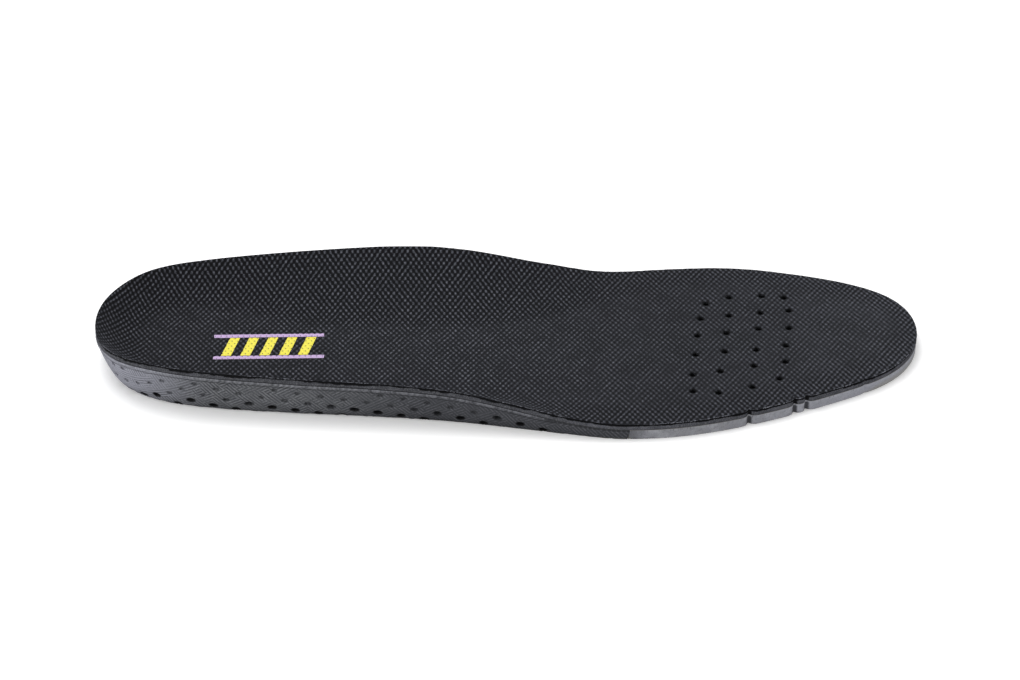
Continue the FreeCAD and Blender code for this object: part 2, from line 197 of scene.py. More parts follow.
def parallel_rows(line, offsets, closed=False):
    """Rows parallel to a line, on both sides."""
    if closed:
        tangent = np.roll(line, -1, 0) - np.roll(line, 1, 0)
    else:
        tangent = np.gradient(line, axis=0)
    tangent /= np.linalg.norm(tangent, axis=1)[:, None] + 1e-12
    normal = np.stack([-tangent[:, 1], tangent[:, 0]], 1)
    return [line + normal * offset for offset in offsets]


def circle(centre, radius, count, phase=0.0):
    a = phase + 2 * math.pi * np.arange(count) / count
    return np.stack([centre[0] + radius * np.cos(a), centre[1] + radius * np.sin(a)], 1)


# ---------------------------------------------------------------- ramps
def smooth(t):
    t = np.clip(t, 0, 1)
    return t * t * (3 - 2 * t)


def rise(value, start, over):
    """0 below start, 1 past start + over."""
    return smooth((value - start) / over)


def fall(value, end, over):
    """1 below end - over, 0 past end."""
    return smooth((end - value) / over)


def cone(distance, reach):
    return np.clip(1 - distance / reach, 0, 1)


def bell(distance, width):
    return np.exp(-((distance / width) ** 2))


# ---------------------------------------------------------------- the rim
OUTLINE_STEPS, RIM_STEPS = 4000, 4096

outline = spline(RIM[:, :2], OUTLINE_STEPS)
low, high = outline.min(0), outline.max(0)
STRETCH = LENGTH / (high[0] - low[0])
MIDDLE = (low + high) / 2


def place(points):
    """Table coordinates to the centred insole of the full length."""
    return (np.asarray(points, float)[..., :2] - MIDDLE) * STRETCH


outline = place(outline)
closed_outline = np.vstack([outline, outline[:1]])
run = distances(closed_outline)
GIRTH = run[-1]
knots = np.array([run[int(np.argmin(((outline - q) ** 2).sum(1)))] for q in place(RIM)])
knots[0] = 0.0
# Stations are distances round the rim; the tables below hold one row for each.
STATIONS = GIRTH * np.arange(RIM_STEPS) / RIM_STEPS
RIM_XY = points_at(closed_outline, run, STATIONS)
tangent = np.roll(RIM_XY, -6, 0) - np.roll(RIM_XY, 6, 0)
tangent /= np.linalg.norm(tangent, axis=1)[:, None]
OUTWARD = np.stack([-tangent[:, 1], tangent[:, 0]], 1)


def rim_values(values):
    """A column of the rim table at every station, by a cubic that never overshoots."""
    n = len(knots)
    gap = (np.roll(knots, -1) - knots) % GIRTH
    slope = (np.roll(values, -1) - values) / gap
    m = np.zeros(n)
    for i in range(n):
        before, after = slope[i - 1], slope[i]
        if before * after > 0:
            w1, w2 = 2 * gap[i] + gap[i - 1], gap[i] + 2 * gap[i - 1]
            m[i] = (w1 + w2) / (w1 / before + w2 / after)
    i = np.searchsorted(knots, STATIONS, side="right") - 1
    t = ((STATIONS - knots[i]) % GIRTH) / gap[i]
    k = (i + 1) % n
    return (values[i] * (1 + 2 * t) * (1 - t) ** 2 + gap[i] * m[i] * t * (1 - t) ** 2
            + values[k] * t * t * (3 - 2 * t) - gap[i] * m[k] * t * t * (1 - t))


RIM_Z, SOLE_INSET, BULGE, SLOPE_W = (rim_values(RIM[:, k]) for k in (2, 3, 4, 5))


def at_rim(table, stations):
    """Rows of a rim table at any stations."""
    spot = (np.asarray(stations, float) / GIRTH * RIM_STEPS) % RIM_STEPS
    i = np.floor(spot).astype(int) % RIM_STEPS
    part = spot - np.floor(spot)
    if table.ndim > 1:
        part = np.expand_dims(part, -1)
    return table[i] * (1 - part) + table[(i + 1) % RIM_STEPS] * part


def nearest_station(point):
    return STATIONS[int(np.argmin(((RIM_XY - point) ** 2).sum(1)))]


# ---------------------------------------------------------------- searches in plan
def in_polygon(points, polygon):
    """Even-odd test, in chunks."""
    points = np.asarray(points, float)
    inside = np.zeros(len(points), bool)
    x0, y0 = polygon[:, 0], polygon[:, 1]
    x1, y1 = np.roll(x0, -1), np.roll(y0, -1)
    dy = np.where(y1 == y0, 1e-12, y1 - y0)
    for c in range(0, len(points), 4000):
        x, y = points[c:c + 4000, 0][:, None], points[c:c + 4000, 1][:, None]
        hit = ((y0 > y) != (y1 > y)) & (x < (x1 - x0) * (y - y0) / dy + x0)
        inside[c:c + 4000] = hit.sum(1) % 2 == 1
    return inside


def line_distance(points, line, closed=False):
    """Distance from each point to a polyline."""
    start = np.asarray(line, float)
    end = np.roll(start, -1, 0)
    if not closed:
        start, end = start[:-1], end[:-1]
    seg = end - start
    length2 = (seg**2).sum(1) + 1e-12
    best = np.full(len(points), 1e9)
    for c in range(0, len(points), 3000):
        d = points[c:c + 3000, None, :] - start[None]
        t = np.clip((d * seg).sum(2) / length2, 0, 1)
        best[c:c + 3000] = np.sqrt(((d - t[..., None] * seg) ** 2).sum(2)).min(1)
    return best


def make_tree(points):
    tree = KDTree(len(points))
    for i, p in enumerate(points):
        tree.insert((p[0], p[1], 0), i)
    tree.balance()
    return tree


def nearest(tree, points):
    """Index of, and distance to, the nearest point of a tree."""
    found = [tree.find((x, y, 0)) for x, y in points]
    return np.array([f[1] for f in found], int), np.array([f[2] for f in found])


def thin(points, keep_off, radius):
    """The points that are farther than radius from every keep_off point."""
    return points[nearest(make_tree(keep_off), points)[1] > radius]


# ---------------------------------------------------------------- surfaces rolled out flat
class Chart:
    """A surface rolled out flat: its level part is in plan, and its sloped border is laid out
    along the outward normals by arc length, so patterns keep their pitch on the slope.
    height gives the border's z from 1 at its foot to 0 at the rim; facing is 1 up, -1 down."""

    def __init__(self, inset, height, level, facing):
        self.inset, self.level, self.facing = inset, level, facing
        self.base = RIM_XY - OUTWARD * inset[:, None]
        self.frac = np.linspace(1, 0, 33)
        self.z = np.stack([height(a) for a in self.frac], 1)
        reach = inset[:, None] * self.frac[None]
        step = np.hypot(np.diff(reach, axis=1), np.diff(self.z, axis=1))
        self.arc = np.concatenate([np.zeros((RIM_STEPS, 1)), np.cumsum(step, 1)], 1)
        self.total = self.arc[:, -1]
        self.rim = self.base + OUTWARD * self.total[:, None]
        self.tree = make_tree(self.base)

    def locate(self, points):
        """Station and distance up the slope of each point, both 0 on the level part."""
        points = np.asarray(points, float)
        station, climb = np.zeros(len(points)), np.zeros(len(points))
        out = np.nonzero(~in_polygon(points, self.base[::4]))[0]
        p = points[out]

        def sideways(s):
            normal = at_rim(OUTWARD, s)
            across = np.stack([normal[:, 1], -normal[:, 0]], 1)
            return ((p - at_rim(self.base, s)) * across).sum(1)

        guess = STATIONS[nearest(self.tree, p)[0]]
        probe = 0.05
        for _ in range(12):
            miss = sideways(guess)
            slope = (sideways(guess + probe) - miss) / probe
            slope = np.where(np.abs(slope) < 0.05, -1.0, slope)
            guess = guess - np.clip(miss / slope, -2, 2) * 0.9
        rise_out = ((p - at_rim(self.base, guess)) * at_rim(OUTWARD, guess)).sum(1)
        station[out] = guess % GIRTH
        climb[out] = np.maximum(rise_out, 0)
        return station, climb

    def fraction(self, station, climb):
        """Where on the slope's profile a climb falls: 1 at its foot, 0 at the rim."""
        arc = at_rim(self.arc, station)
        k = np.clip((arc <= climb[:, None]).sum(1) - 1, 0, arc.shape[1] - 2)
        r = np.arange(len(station))
        gap = np.maximum(arc[r, k + 1] - arc[r, k], 1e-9)
        g = np.clip((climb - arc[r, k]) / gap, 0, 1)
        return self.frac[k] * (1 - g) + self.frac[k + 1] * g

    def lift(self, points):
        """Chart points to places, outward unit normals, stations and climbs."""
        points = np.asarray(points, float)
        station, climb = self.locate(points)
        p, normal = np.zeros((len(points), 3)), np.zeros((len(points), 3))
        p[:, :2], p[:, 2] = points, self.level
        normal[:, 2] = self.facing
        w = np.nonzero(climb > 1e-7)[0]
        s = station[w]
        a = self.fraction(s, climb[w])
        height = at_rim(self.z, s)
        cells = height.shape[1] - 1
        f = (1 - a) * cells
        k = np.clip(f.astype(int), 0, cells - 1)
        r = np.arange(len(w))
        inset, out = at_rim(self.inset, s), at_rim(OUTWARD, s)
        p[w, :2] = at_rim(RIM_XY, s) - out * (inset * a)[:, None]
        p[w, 2] = height[r, k] * (1 - (f - k)) + height[r, k + 1] * (f - k)
        dz, dd = height[r, k + 1] - height[r, k], inset * (1.0 / cells)
        length = np.maximum(np.hypot(dz, dd), 1e-9)
        normal[w, :2] = out * (-self.facing * dz / length)[:, None]
        normal[w, 2] = self.facing * dd / length
        return p, normal, station, climb

    def from_plan(self, points):
        """Plan positions on the surface to chart points."""
        q = np.array(points, float)
        for i in np.nonzero(~in_polygon(q, self.base[::4]))[0]:
            s = nearest_station(q[i])
            out, inset = at_rim(OUTWARD, s), float(at_rim(self.inset, s))
            depth = max(-float((q[i] - at_rim(RIM_XY, s)) @ out), 0.0)
            a = min(depth / inset, 1.0) if inset > 1e-6 else 0.0
            arc = at_rim(self.arc, s)
            f = (1 - a) * (len(arc) - 1)
            q[i] = at_rim(self.base, s) + out * np.interp(f, np.arange(len(arc)), arc)
        return q


WALL_H = RIM_Z - LAYERS - RIM_LIP
TOP = Chart(SLOPE_W, lambda a: FLOOR_Z + (RIM_Z - FLOOR_Z) * (1 - a) ** 2, FLOOR_Z, 1)
SOLE = Chart(SOLE_INSET, lambda a: WALL_H * ((1 - a) ** 2 + 2 * a * (1 - a) * BULGE), 0.0, -1)
CONTACT = SOLE.base  # edge of the sole's level part


# ---------------------------------------------------------------- triangulation
def triangulate(rings, points):
    """Constrained triangulation inside the first ring. The points begin with those of the rings.
    Returns the points as kept, the triangles, and where each ring's points went."""
    ids, edges, start = [], [], 0
    for ring in rings:
        ring_ids = np.arange(start, start + len(ring))
        ids.append(ring_ids)
        edges += [(int(a), int(b)) for a, b in zip(ring_ids, np.roll(ring_ids, -1))]
        start += len(ring)
    vectors = [Vector((float(x), float(y))) for x, y in points]
    out = delaunay_2d_cdt(vectors, edges, [], 0, 1e-5)
    xy = np.array([(v.x, v.y) for v in out[0]])
    tri = np.array([f for f in out[2] if len(f) == 3], int)
    new_of = np.full(len(points), -1)
    for k, sources in enumerate(out[3]):
        for i in sources:
            new_of[i] = k
    area = np.cross(xy[tri[:, 1]] - xy[tri[:, 0]], xy[tri[:, 2]] - xy[tri[:, 0]])
    tri = tri[np.abs(area) > 1e-13]
    area = area[np.abs(area) > 1e-13]
    tri[area < 0] = tri[area < 0][:, ::-1]
    tri = tri[in_polygon(xy[tri].mean(1), rings[0])]
    return xy, tri, [new_of[i] for i in ids]


def grid(box, dx, dy, stagger=True, turn=0.0, origin=(0, 0)):
    """Lattice points that cover a box of x0, x1, y0, y1."""
    x0, x1, y0, y1 = box
    c, s = math.cos(turn), math.sin(turn)
    r = math.hypot(x1 - x0, y1 - y0) / 2 + max(dx, dy) * 2
    cx, cy = (x0 + x1) / 2, (y0 + y1) / 2
    ox, oy = origin
    u0 = (cx - ox) * c + (cy - oy) * s
    v0 = -(cx - ox) * s + (cy - oy) * c
    i = np.arange(math.floor((u0 - r) / dx), math.ceil((u0 + r) / dx) + 1)
    j = np.arange(math.floor((v0 - r) / dy), math.ceil((v0 + r) / dy) + 1)
    ii, jj = np.meshgrid(i, j)
    u = ii * dx + (jj % 2) * (dx / 2 if stagger else 0)
    v = jj * dy
    x, y = ox + u * c - v * s, oy + u * s + v * c
    k = (x > x0) & (x < x1) & (y > y0) & (y < y1)
    return np.stack([x[k], y[k]], 1)


def within(points, polygon):
    return points[in_polygon(points, polygon)]


def fill(polygon, pitch):
    """Staggered lattice points inside a polygon."""
    x, y = polygon[:, 0], polygon[:, 1]
    return within(grid((x.min(), x.max(), y.min(), y.max()), pitch, pitch), polygon)


class Piece:
    """Collects the vertices and faces of one piece."""

    def __init__(self):
        self.points, self.charts, self.tints = [], [], []
        self.polygons, self.materials, self.count = [], [], 0

    def add(self, points, chart, tint=(0.0, 0.0, 0.0)):
        """Adds vertices. The chart and tint drive the materials."""
        points = np.asarray(points, float)
        n = len(points)
        full_chart = np.zeros((n, 3))
        full_chart[:, :np.shape(chart)[1]] = chart
        self.points.append(points)
        self.charts.append(full_chart)
        self.tints.append(np.broadcast_to(np.asarray(tint, float), (n, 3)))
        self.count += n
        return np.arange(self.count - n, self.count)

    def faces(self, faces, material=0):
        self.polygons += [tuple(int(i) for i in face) for face in faces]
        self.materials += [material] * len(faces)

    def walls(self, rows, material=0, closed=True, flip=False):
        """Quads between neighbouring rows of the same length."""
        for a, b in zip(rows, rows[1:]):
            n = len(a)
            quads = []
            for i in range(n if closed else n - 1):
                j = (i + 1) % n
                quad = (a[i], a[j], b[j], b[i])
                quads.append(quad[::-1] if flip else quad)
            self.faces(quads, material)

    def make(self, name, materials, sharp):
        mesh = bpy.data.meshes.new(name)
        mesh.from_pydata([tuple(p) for p in np.vstack(self.points) * MM], [], self.polygons)
        mesh.validate()
        mesh.update()
        for material in materials:
            mesh.materials.append(material)
        # validate() may drop a faulty face, and the list would then no longer match
        if len(mesh.polygons) == len(self.materials):
            slots = np.array(self.materials, np.int32)
            mesh.polygons.foreach_set("material_index", slots)
        mesh.polygons.foreach_set("use_smooth", np.ones(len(mesh.polygons), bool))
        for label, rows in (("chart", self.charts), ("tint", self.tints)):
            attribute = mesh.attributes.new(label, "FLOAT_VECTOR", "POINT")
            attribute.data.foreach_set("vector", np.vstack(rows).astype(np.float32).ravel())
        mesh.set_sharp_from_angle(angle=math.radians(sharp))
        ob = bpy.data.objects.new(name, mesh)
        bpy.context.collection.objects.link(ob)
        return ob


# ---------------------------------------------------------------- stops on the rim, notches
RIM_STOP_GAP = 0.7
NOTCH_STATIONS = [nearest_station(place((x, y))) for x, y, _ in NOTCHES]
stops = list(np.arange(0, GIRTH, RIM_STOP_GAP))
for middle in NOTCH_STATIONS:  # the stops are closer together at the notches
    stops = [s for s in stops if abs(s - middle) > 1.9]
    stops += list(middle + np.linspace(-1.8, 1.8, 19))
RIM_STOPS = np.array(sorted(stops))
RIM_N = len(RIM_STOPS)
RIM_CHART = at_rim(TOP.rim, RIM_STOPS)
RIM_OUT = at_rim(OUTWARD, RIM_STOPS)


def wave(stations, seed, scales=((3.1, 0.5), (1.3, 0.35), (0.8, 0.15))):
    """Smooth closed noise along the rim, about -1 to 1. The scales are (length, gain) pairs."""
    rng = np.random.default_rng(seed)
    out = np.zeros(len(stations))
    for length, gain in scales:
        n = max(8, int(GIRTH / length))
        v = rng.uniform(-1, 1, n + 1)
        v[-1] = v[0]
        f = (stations / GIRTH * n) % n
        i = f.astype(int)
        t = smooth(f - i)
        out += gain * (v[i] * (1 - t) + v[(i + 1) % n] * t)
    return out


def notch_offsets(points, station):
    """Distances along the rim and inward from a notch, and the outward direction there."""
    out = at_rim(OUTWARD, station)
    d = points[:, :2] - at_rim(RIM_XY, station)
    return d @ np.array([out[1], -out[0]]), -(d @ out), out


def notch_shift(points):
    """Moves points near the trim notches inward."""
    p = np.array(points, float)
    for station, depth in zip(NOTCH_STATIONS, NOTCHES[:, 2]):
        near = np.nonzero(((p[:, :2] - at_rim(RIM_XY, station)) ** 2).sum(1) < 36)[0]
        along, inward, out = notch_offsets(p[near], station)
        profile = 0.58 * bell(along, 0.68) + 0.42 * bell(along, 1.70)
        p[near, :2] -= out * (1.3 * depth * profile * np.clip(1 - inward / 3.0, 0, 1))[:, None]
    return p


def notch_shade(points):
    """1 in the trim notches, fading out beside them."""
    shade = np.zeros(len(points))
    for station in NOTCH_STATIONS[:SHADED_NOTCHES]:
        along, inward, _ = notch_offsets(points, station)
        shade = np.maximum(shade, fall(np.abs(along), 1.45, 1.1) * fall(inward, 2.8, 1.3))
    return shade


def rim_row(stations, drop, out=0.0):
    """A row of points beside the rim: drop below its top edge, and out beyond it."""
    p = np.zeros((len(stations), 3))
    reach = np.zeros(len(stations)) + out
    p[:, :2] = at_rim(RIM_XY, stations) + at_rim(OUTWARD, stations) * reach[:, None]
    p[:, 2] = at_rim(RIM_Z, stations) - drop
    return notch_shift(p)


# ---------------------------------------------------------------- vents
VENT_XY = place(VENTS)
VENT_LOOPS = [circle(c, VENT_R, VENT_SIDES) for c in VENT_XY]


def clear_of_vents(points, radius):
    keep = np.ones(len(points), bool)
    for centre in VENT_XY:
        keep &= ((points - centre) ** 2).sum(1) > radius**2
    return keep


def open_vents(xy, tri):
    """The triangles that don't cover a vent."""
    return tri[clear_of_vents(xy[tri].mean(1), VENT_R * 0.97)]


def vent_distance(points):
    """Distance to the nearest vent's edge, at most 9."""
    distance = np.full(len(points), 9.0)
    for centre in VENT_XY:
        distance = np.minimum(distance, np.hypot(*(points - centre).T) - VENT_R)
    return distance


# ---------------------------------------------------------------- knit and footbed layouts
def patch(q):
    """Slow variation of how tightly the two diagonals of the knit pull, -1 to 1."""
    x, y = q[:, 0], q[:, 1]
    a = (np.sin(0.41 * x + 1.7 * np.sin(0.23 * y + 0.4))
         * np.sin(0.37 * y + 1.3 * np.sin(0.19 * x + 1.1)))
    b = np.sin(0.93 * x - 0.71 * y + 1.9 * np.sin(0.11 * x + 0.31 * y))
    return 0.65 * a + 0.35 * b


def knit_relief(q):
    """Height of the knit: deep in the pores, slightly sunk on the knots."""
    c, s = math.cos(KNIT_TURN), math.sin(KNIT_TURN)
    x, y = q[:, 0] * c + q[:, 1] * s, -q[:, 0] * s + q[:, 1] * c
    a, b, skew = math.pi * x / KNIT_X, math.pi * y / KNIT_Y, KNIT_SKEW * patch(q)
    pore = 0.5 * ((1 + skew) * np.cos(a + b) + (1 - skew) * np.cos(a - b))
    return np.where(pore > 0, -0.13 * pore, -0.035 * pore)


def knit_lattice():
    """Pores, knots and the points between them."""
    c, s = math.cos(KNIT_TURN), math.sin(KNIT_TURN)
    i, j = np.meshgrid(np.arange(-170, 171), np.arange(-45, 46))
    i, j = i.ravel(), j.ravel()
    q = np.concatenate([np.stack([i * KNIT_X, j * KNIT_Y], 1),
                        np.stack([(i + 0.5) * KNIT_X, (j + 0.5) * KNIT_Y], 1)])
    q = within(np.stack([q[:, 0] * c - q[:, 1] * s, q[:, 0] * s + q[:, 1] * c], 1), RIM_CHART)
    return q[clear_of_vents(q, VENT_R + 0.1)]


def top_layout(free, rows):
    """Chart triangulation of the whole footbed with its vents open."""
    fixed = [RIM_CHART] + VENT_LOOPS
    anchors = np.vstack(fixed + rows)
    xy, tri, loops = triangulate(fixed, np.vstack([anchors, thin(free, anchors, 0.34)]))
    return xy, open_vents(xy, tri), loops


lattice = knit_lattice()
edge_rows = [RIM_CHART - RIM_OUT * 0.32, RIM_CHART - RIM_OUT * 0.75]
vent_lips = [circle(c, VENT_R + k, VENT_SIDES, math.pi / VENT_SIDES * i)
             for c in VENT_XY for i, k in enumerate((0.22, 0.5), 1)]
cover_xy, cover_tri, cover_loops = top_layout(lattice, edge_rows + vent_lips)
coarse = thin(fill(RIM_CHART, 4.0), np.vstack([RIM_CHART] + VENT_LOOPS), 1.6)
plain_xy, plain_tri, plain_loops = top_layout(coarse, [])


def lowered_bed(xy, drop):
    p = TOP.lift(xy)[0]
    p[:, 2] -= drop
    return p


# ---------------------------------------------------------------- cloth cover
def make_cover():
    piece = Piece()
    p, normal, _, climb = TOP.lift(cover_xy)
    x, y = cover_xy[:, 0], cover_xy[:, 1]
    edge_d = line_distance(cover_xy, RIM_CHART, True)
    vent_d = vent_distance(cover_xy)
    calm = rise(edge_d, 0.2, 0.8) * rise(vent_d, 0.1, 0.5)
    relief = knit_relief(cover_xy) * calm
    # the cloth sinks a little round the vents and rolls over at its cut edge
    relief -= 0.42 * cone(vent_d, 0.95) ** 1.6
    relief -= 0.14 * cone(edge_d, 0.5) ** 2
    # slight unevenness of the glued cloth
    uneven = 0.05 * np.sin(x / 9.1 + 1.3 * np.sin(y / 13.0)) * np.sin(y / 7.7 + 0.6)
    p = p + normal * (relief + uneven * calm)[:, None]
    # cloth threads reach a little into the vents
    rng = np.random.default_rng(29)
    for ids, centre in zip(cover_loops[1:], VENT_XY):
        tuck = np.tile(rng.uniform(0.02, 0.30, VENT_SIDES), 3)
        tuck = np.convolve(tuck, (0.25, 0.5, 0.25), "same")[VENT_SIDES:2 * VENT_SIDES]
        p[ids, :2] = centre + (p[ids, :2] - centre) * (1 - tuck)[:, None]
    p = notch_shift(p)
    tint = np.stack([climb / 20.0, 0.5 + 0.5 * patch(cover_xy), cone(edge_d, 1.2)], 1)
    # painted shade in the dips round the vents and in the trim notches, carried in the chart's
    # third value
    dip_shade = np.maximum(cone(vent_d, 0.85), 0.8 * notch_shade(p))
    top = piece.add(p, np.c_[cover_xy, dip_shade], tint)
    piece.faces(top[cover_tri])
    # frayed cut edge: (drop, out)
    fray = wave(RIM_STOPS, 11, ((1.5, 0.6), (0.75, 0.4)))
    rows = [top[cover_loops[0]]]
    for drop, out in ((0.12, 0.04 + 0.10 * fray), (0.27 + 0.08 * fray, 0.05 + 0.16 * fray),
                      (0.40 + 0.10 * fray, -0.14 + 0.14 * fray), (0.64, -0.58)):
        inward = 0.9 * (np.zeros(RIM_N) + drop)
        chart = RIM_CHART - RIM_OUT * inward[:, None]
        rows.append(piece.add(rim_row(RIM_STOPS, drop, out), chart, (0.0, 0.5, 1.0)))
    under = lowered_bed(plain_xy, COVER_T)
    under[plain_loops[0]] = rim_row(RIM_STOPS, COVER_T, -0.64)
    bottom = piece.add(under, plain_xy, (0.0, 0.0, 1.0))
    piece.faces(bottom[plain_tri][:, ::-1])
    piece.walls(rows + [bottom[plain_loops[0]]])
    for upper, lower in zip(cover_loops[1:], plain_loops[1:]):
        piece.walls([top[upper], bottom[lower]])
    return piece


# ---------------------------------------------------------------- backing foam
def make_backing():
    piece = Piece()
    sheets = []
    for drop, out in ((COVER_T + 0.02, -0.70), (LAYERS, -0.10)):
        p = lowered_bed(plain_xy, drop)
        p[plain_loops[0]] = rim_row(RIM_STOPS, drop, out)
        sheets.append(piece.add(p, plain_xy))
    upper, lower = sheets
    piece.faces(upper[plain_tri])
    piece.faces(lower[plain_tri][:, ::-1])
    # cut edge, with a gap under the cloth where the glue is slack
    w1, w2 = wave(RIM_STOPS, 21), wave(RIM_STOPS, 22, ((4.0, 0.5), (1.1, 0.5)))
    rear = fall(at_rim(RIM_XY, RIM_STOPS)[:, 0], 27.5, 30)
    notched = notch_shade(rim_row(RIM_STOPS, 0))
    loose = wave(RIM_STOPS, 23, ((5.0, 0.45), (1.7, 0.35), (0.9, 0.20)))
    slack = np.clip(0.5 + 1.2 * loose, 0, 1)
    gap = 0.02 + (0.18 + 0.34 * rear) * slack
    # how light each row is: low values become painted shade, black in the gap under the cloth and
    # in the notches
    edge = (  # how light, drop, out
        (0.0, 0.86 + 0.02 * w1, -0.62 + 0.05 * w2),
        (0.55 - 0.55 * slack, 0.90 + 0.5 * gap, -0.42 + 0.28 * (1 - slack) + 0.09 * w2),
        (0.90 - 0.70 * slack, 0.98 + gap, -0.16 + 0.14 * (1 - slack) + 0.08 * w1),
        (0.95, 1.16 + gap, 0.0 + 0.06 * w1),
        (1.0, 1.50 + 0.5 * gap, 0.04 + 0.06 * w2),
        (1.0, 1.95, 0.05 + 0.05 * w1),
        (1.0, 2.28, 0.03 + 0.05 * w2),
        (0.5, 2.52, -0.04 + 0.04 * w2))
    rows = [upper[plain_loops[0]]]
    for light, drop, out in edge:
        tint = np.stack([np.ones(RIM_N), rear, light * (1 - 0.75 * notched)], 1)
        chart = np.c_[RIM_CHART, np.zeros(RIM_N) + drop]
        rows.append(piece.add(rim_row(RIM_STOPS, drop, out), chart, tint))
    piece.walls(rows + [lower[plain_loops[0]]])
    for ids in plain_loops[1:]:
        piece.walls([upper[ids], lower[ids]])
    return piece


# ---------------------------------------------------------------- seam, pocket and arch lines
seam_plan = spline(place(SEAM), 900, closed=False)
inside = np.nonzero(in_polygon(seam_plan, RIM_XY[::4]))[0]
seam_plan = seam_plan[inside[0]:inside[-1] + 1]
seam_inner, seam_outer = (float(nearest_station(seam_plan[k])) for k in (0, -1))
SEAM_ENDS = [seam_inner, seam_outer]
run = distances(seam_plan)
seam_plan = points_at(seam_plan, run, np.linspace(0, run[-1], int(run[-1] / 0.9)))
seam_plan[[0, -1]] = at_rim(RIM_XY, SEAM_ENDS)
seam_chart = SOLE.from_plan(seam_plan)
seam_chart[[0, -1]] = at_rim(SOLE.rim, SEAM_ENDS)

rear_stops = np.r_[seam_outer, RIM_STOPS[RIM_STOPS > seam_outer + 0.35],
                   RIM_STOPS[RIM_STOPS < seam_inner - 0.35] + GIRTH, seam_inner + GIRTH]
fore_stops = np.r_[
    seam_inner,
    RIM_STOPS[(RIM_STOPS > seam_inner + 0.35) & (RIM_STOPS < seam_outer - 0.35)], seam_outer]
rear_loop = np.vstack([at_rim(SOLE.rim, rear_stops), seam_chart[1:-1]])
fore_loop = np.vstack([at_rim(SOLE.rim, fore_stops), seam_chart[::-1][1:-1]])
seam_rows = np.vstack(parallel_rows(seam_chart, (-0.75, -0.38, 0.38, 0.75)))

gel_line = place(spline(GEL, 150))
pocket = grow(gel_line, FRAME_WALL + 0.12)
panel = place(PANEL)
ridge = spline(place(RIDGE), 60, closed=False)
groove = spline(place(GROOVE), 50, closed=False)


# ---------------------------------------------------------------- perforations
# Two staggered lattices: one on the level sole and the arch, and a wider one where the sheet
# was drawn over the outer wall and the heel and its holes moved apart.
def punched(dx, dy, turn, origin):
    q = within(grid((-190, 60, -75, 75), dx, dy, True, turn, tuple(place(origin))), rear_loop)
    return q, on_stretch(q, SOLE.locate(q)[1])


def on_stretch(q, climb):
    return (climb > 0.8) & ((q[:, 1] < -12) | (q[:, 0] < -122))


flat_q, stretched = punched(dx=7.025, dy=4.08, turn=-0.0357, origin=(95.15, 0.61))
flat_q = flat_q[~stretched]
wall_q, stretched = punched(dx=7.9, dy=4.45, turn=0.033, origin=(142.673, 1.5))
wall_q = wall_q[stretched]
far = np.array([np.sqrt(((wall_q - q) ** 2).sum(1)).min() > 3.4 for q in flat_q])
holes = np.vstack([flat_q[far], wall_q])
holes = holes[line_distance(holes, rear_loop, True) > 1.75]
holes = holes[~in_polygon(holes, pocket)]
holes = holes[line_distance(holes, pocket, True) > 1.5]
holes = holes[~((holes[:, 0] > 12) & (holes[:, 1] < -34))]

hole_s, hole_climb = SOLE.locate(holes)
drawn = on_stretch(holes, hole_climb)
level = ~drawn & (hole_climb <= 0.8)
# the holes close up where the wall was drawn in the mould
limit = np.where(drawn, 7.2, 10.0) - 0.6 * rise(holes[:, 0], -45, 25)
openness = fall(hole_climb, limit + 1.4, 3.4)
hole_depth = 0.30 + 1.7 * fall(hole_climb, limit + 0.6, 2.8)
# how dark each hole is painted, less where it closes up: the backing's black seen through and
# painted shade on its walls
hole_dark = 0.22 + 0.78 * fall(hole_climb, limit, 2.8)
# half lengths and directions: drawn along the wall, squeezed to slits in the arch
slit = level * rise(holes[:, 0], -66, 8)
uneven = np.random.default_rng(17).uniform(-1, 1, (3, len(holes)))
hole_a = np.where(drawn, 1.02 + 0.42 * openness,
                  np.where(level, 1.12 - 0.16 * slit, 0.86 + 0.16 * openness))
hole_a = hole_a * (1 + 0.10 * uneven[0])
hole_b = np.where(drawn, 0.68 + 0.32 * openness,
                  np.where(level, 0.98 - 0.52 * slit, 0.60 + 0.16 * openness))
hole_b = hole_b * (1 + 0.12 * uneven[1])
hole_out = at_rim(OUTWARD, hole_s)
hole_turn = np.where(level, -0.12, np.arctan2(-hole_out[:, 0], hole_out[:, 1]))
hole_turn = hole_turn + 0.16 * uneven[2]
hole_tree = make_tree(holes)


def oval(i, more=0.0, phase=0.0):
    """Outline of hole i, grown by more."""
    a = phase + 2 * math.pi * np.arange(HOLE_SIDES) / HOLE_SIDES
    u, v = (hole_a[i] + more) * np.cos(a), (hole_b[i] + more) * np.sin(a)
    c, s = math.cos(hole_turn[i]), math.sin(hole_turn[i])
    return np.stack([holes[i, 0] + u * c - v * s, holes[i, 1] + u * s + v * c], 1)


def nearest_hole(q):
    """The nearest hole, and the distance from its centre as a share of its outline."""
    i = nearest(hole_tree, q)[0]
    d = q - holes[i]
    c, s = np.cos(hole_turn[i]), np.sin(hole_turn[i])
    return i, np.hypot((d[:, 0] * c + d[:, 1] * s) / hole_a[i],
                       (d[:, 1] * c - d[:, 0] * s) / hole_b[i])


# ---------------------------------------------------------------- shared by the two bases
def underside(loop, fixed, free_sets, allowed):
    """Triangulates a chart region with fixed loops and (points, gap) sets in order of rank."""
    rings = [loop] + fixed
    have = np.vstack(rings)
    for free, gap in free_sets:
        free = within(free, loop)
        have = np.vstack([have, thin(free[allowed(free)], have, gap)])
    return triangulate(rings, have)


def seam_open(xy):
    """The seam's groove dies out where the rear foam runs forward along the outer edge."""
    return 1 - 0.85 * rise(xy[:, 0], 15, 4) * (xy[:, 1] < -36)


def stripes(xy, cycles):
    return np.cos(2 * math.pi * (cycles[0] * xy[:, 0] + cycles[1] * xy[:, 1]))


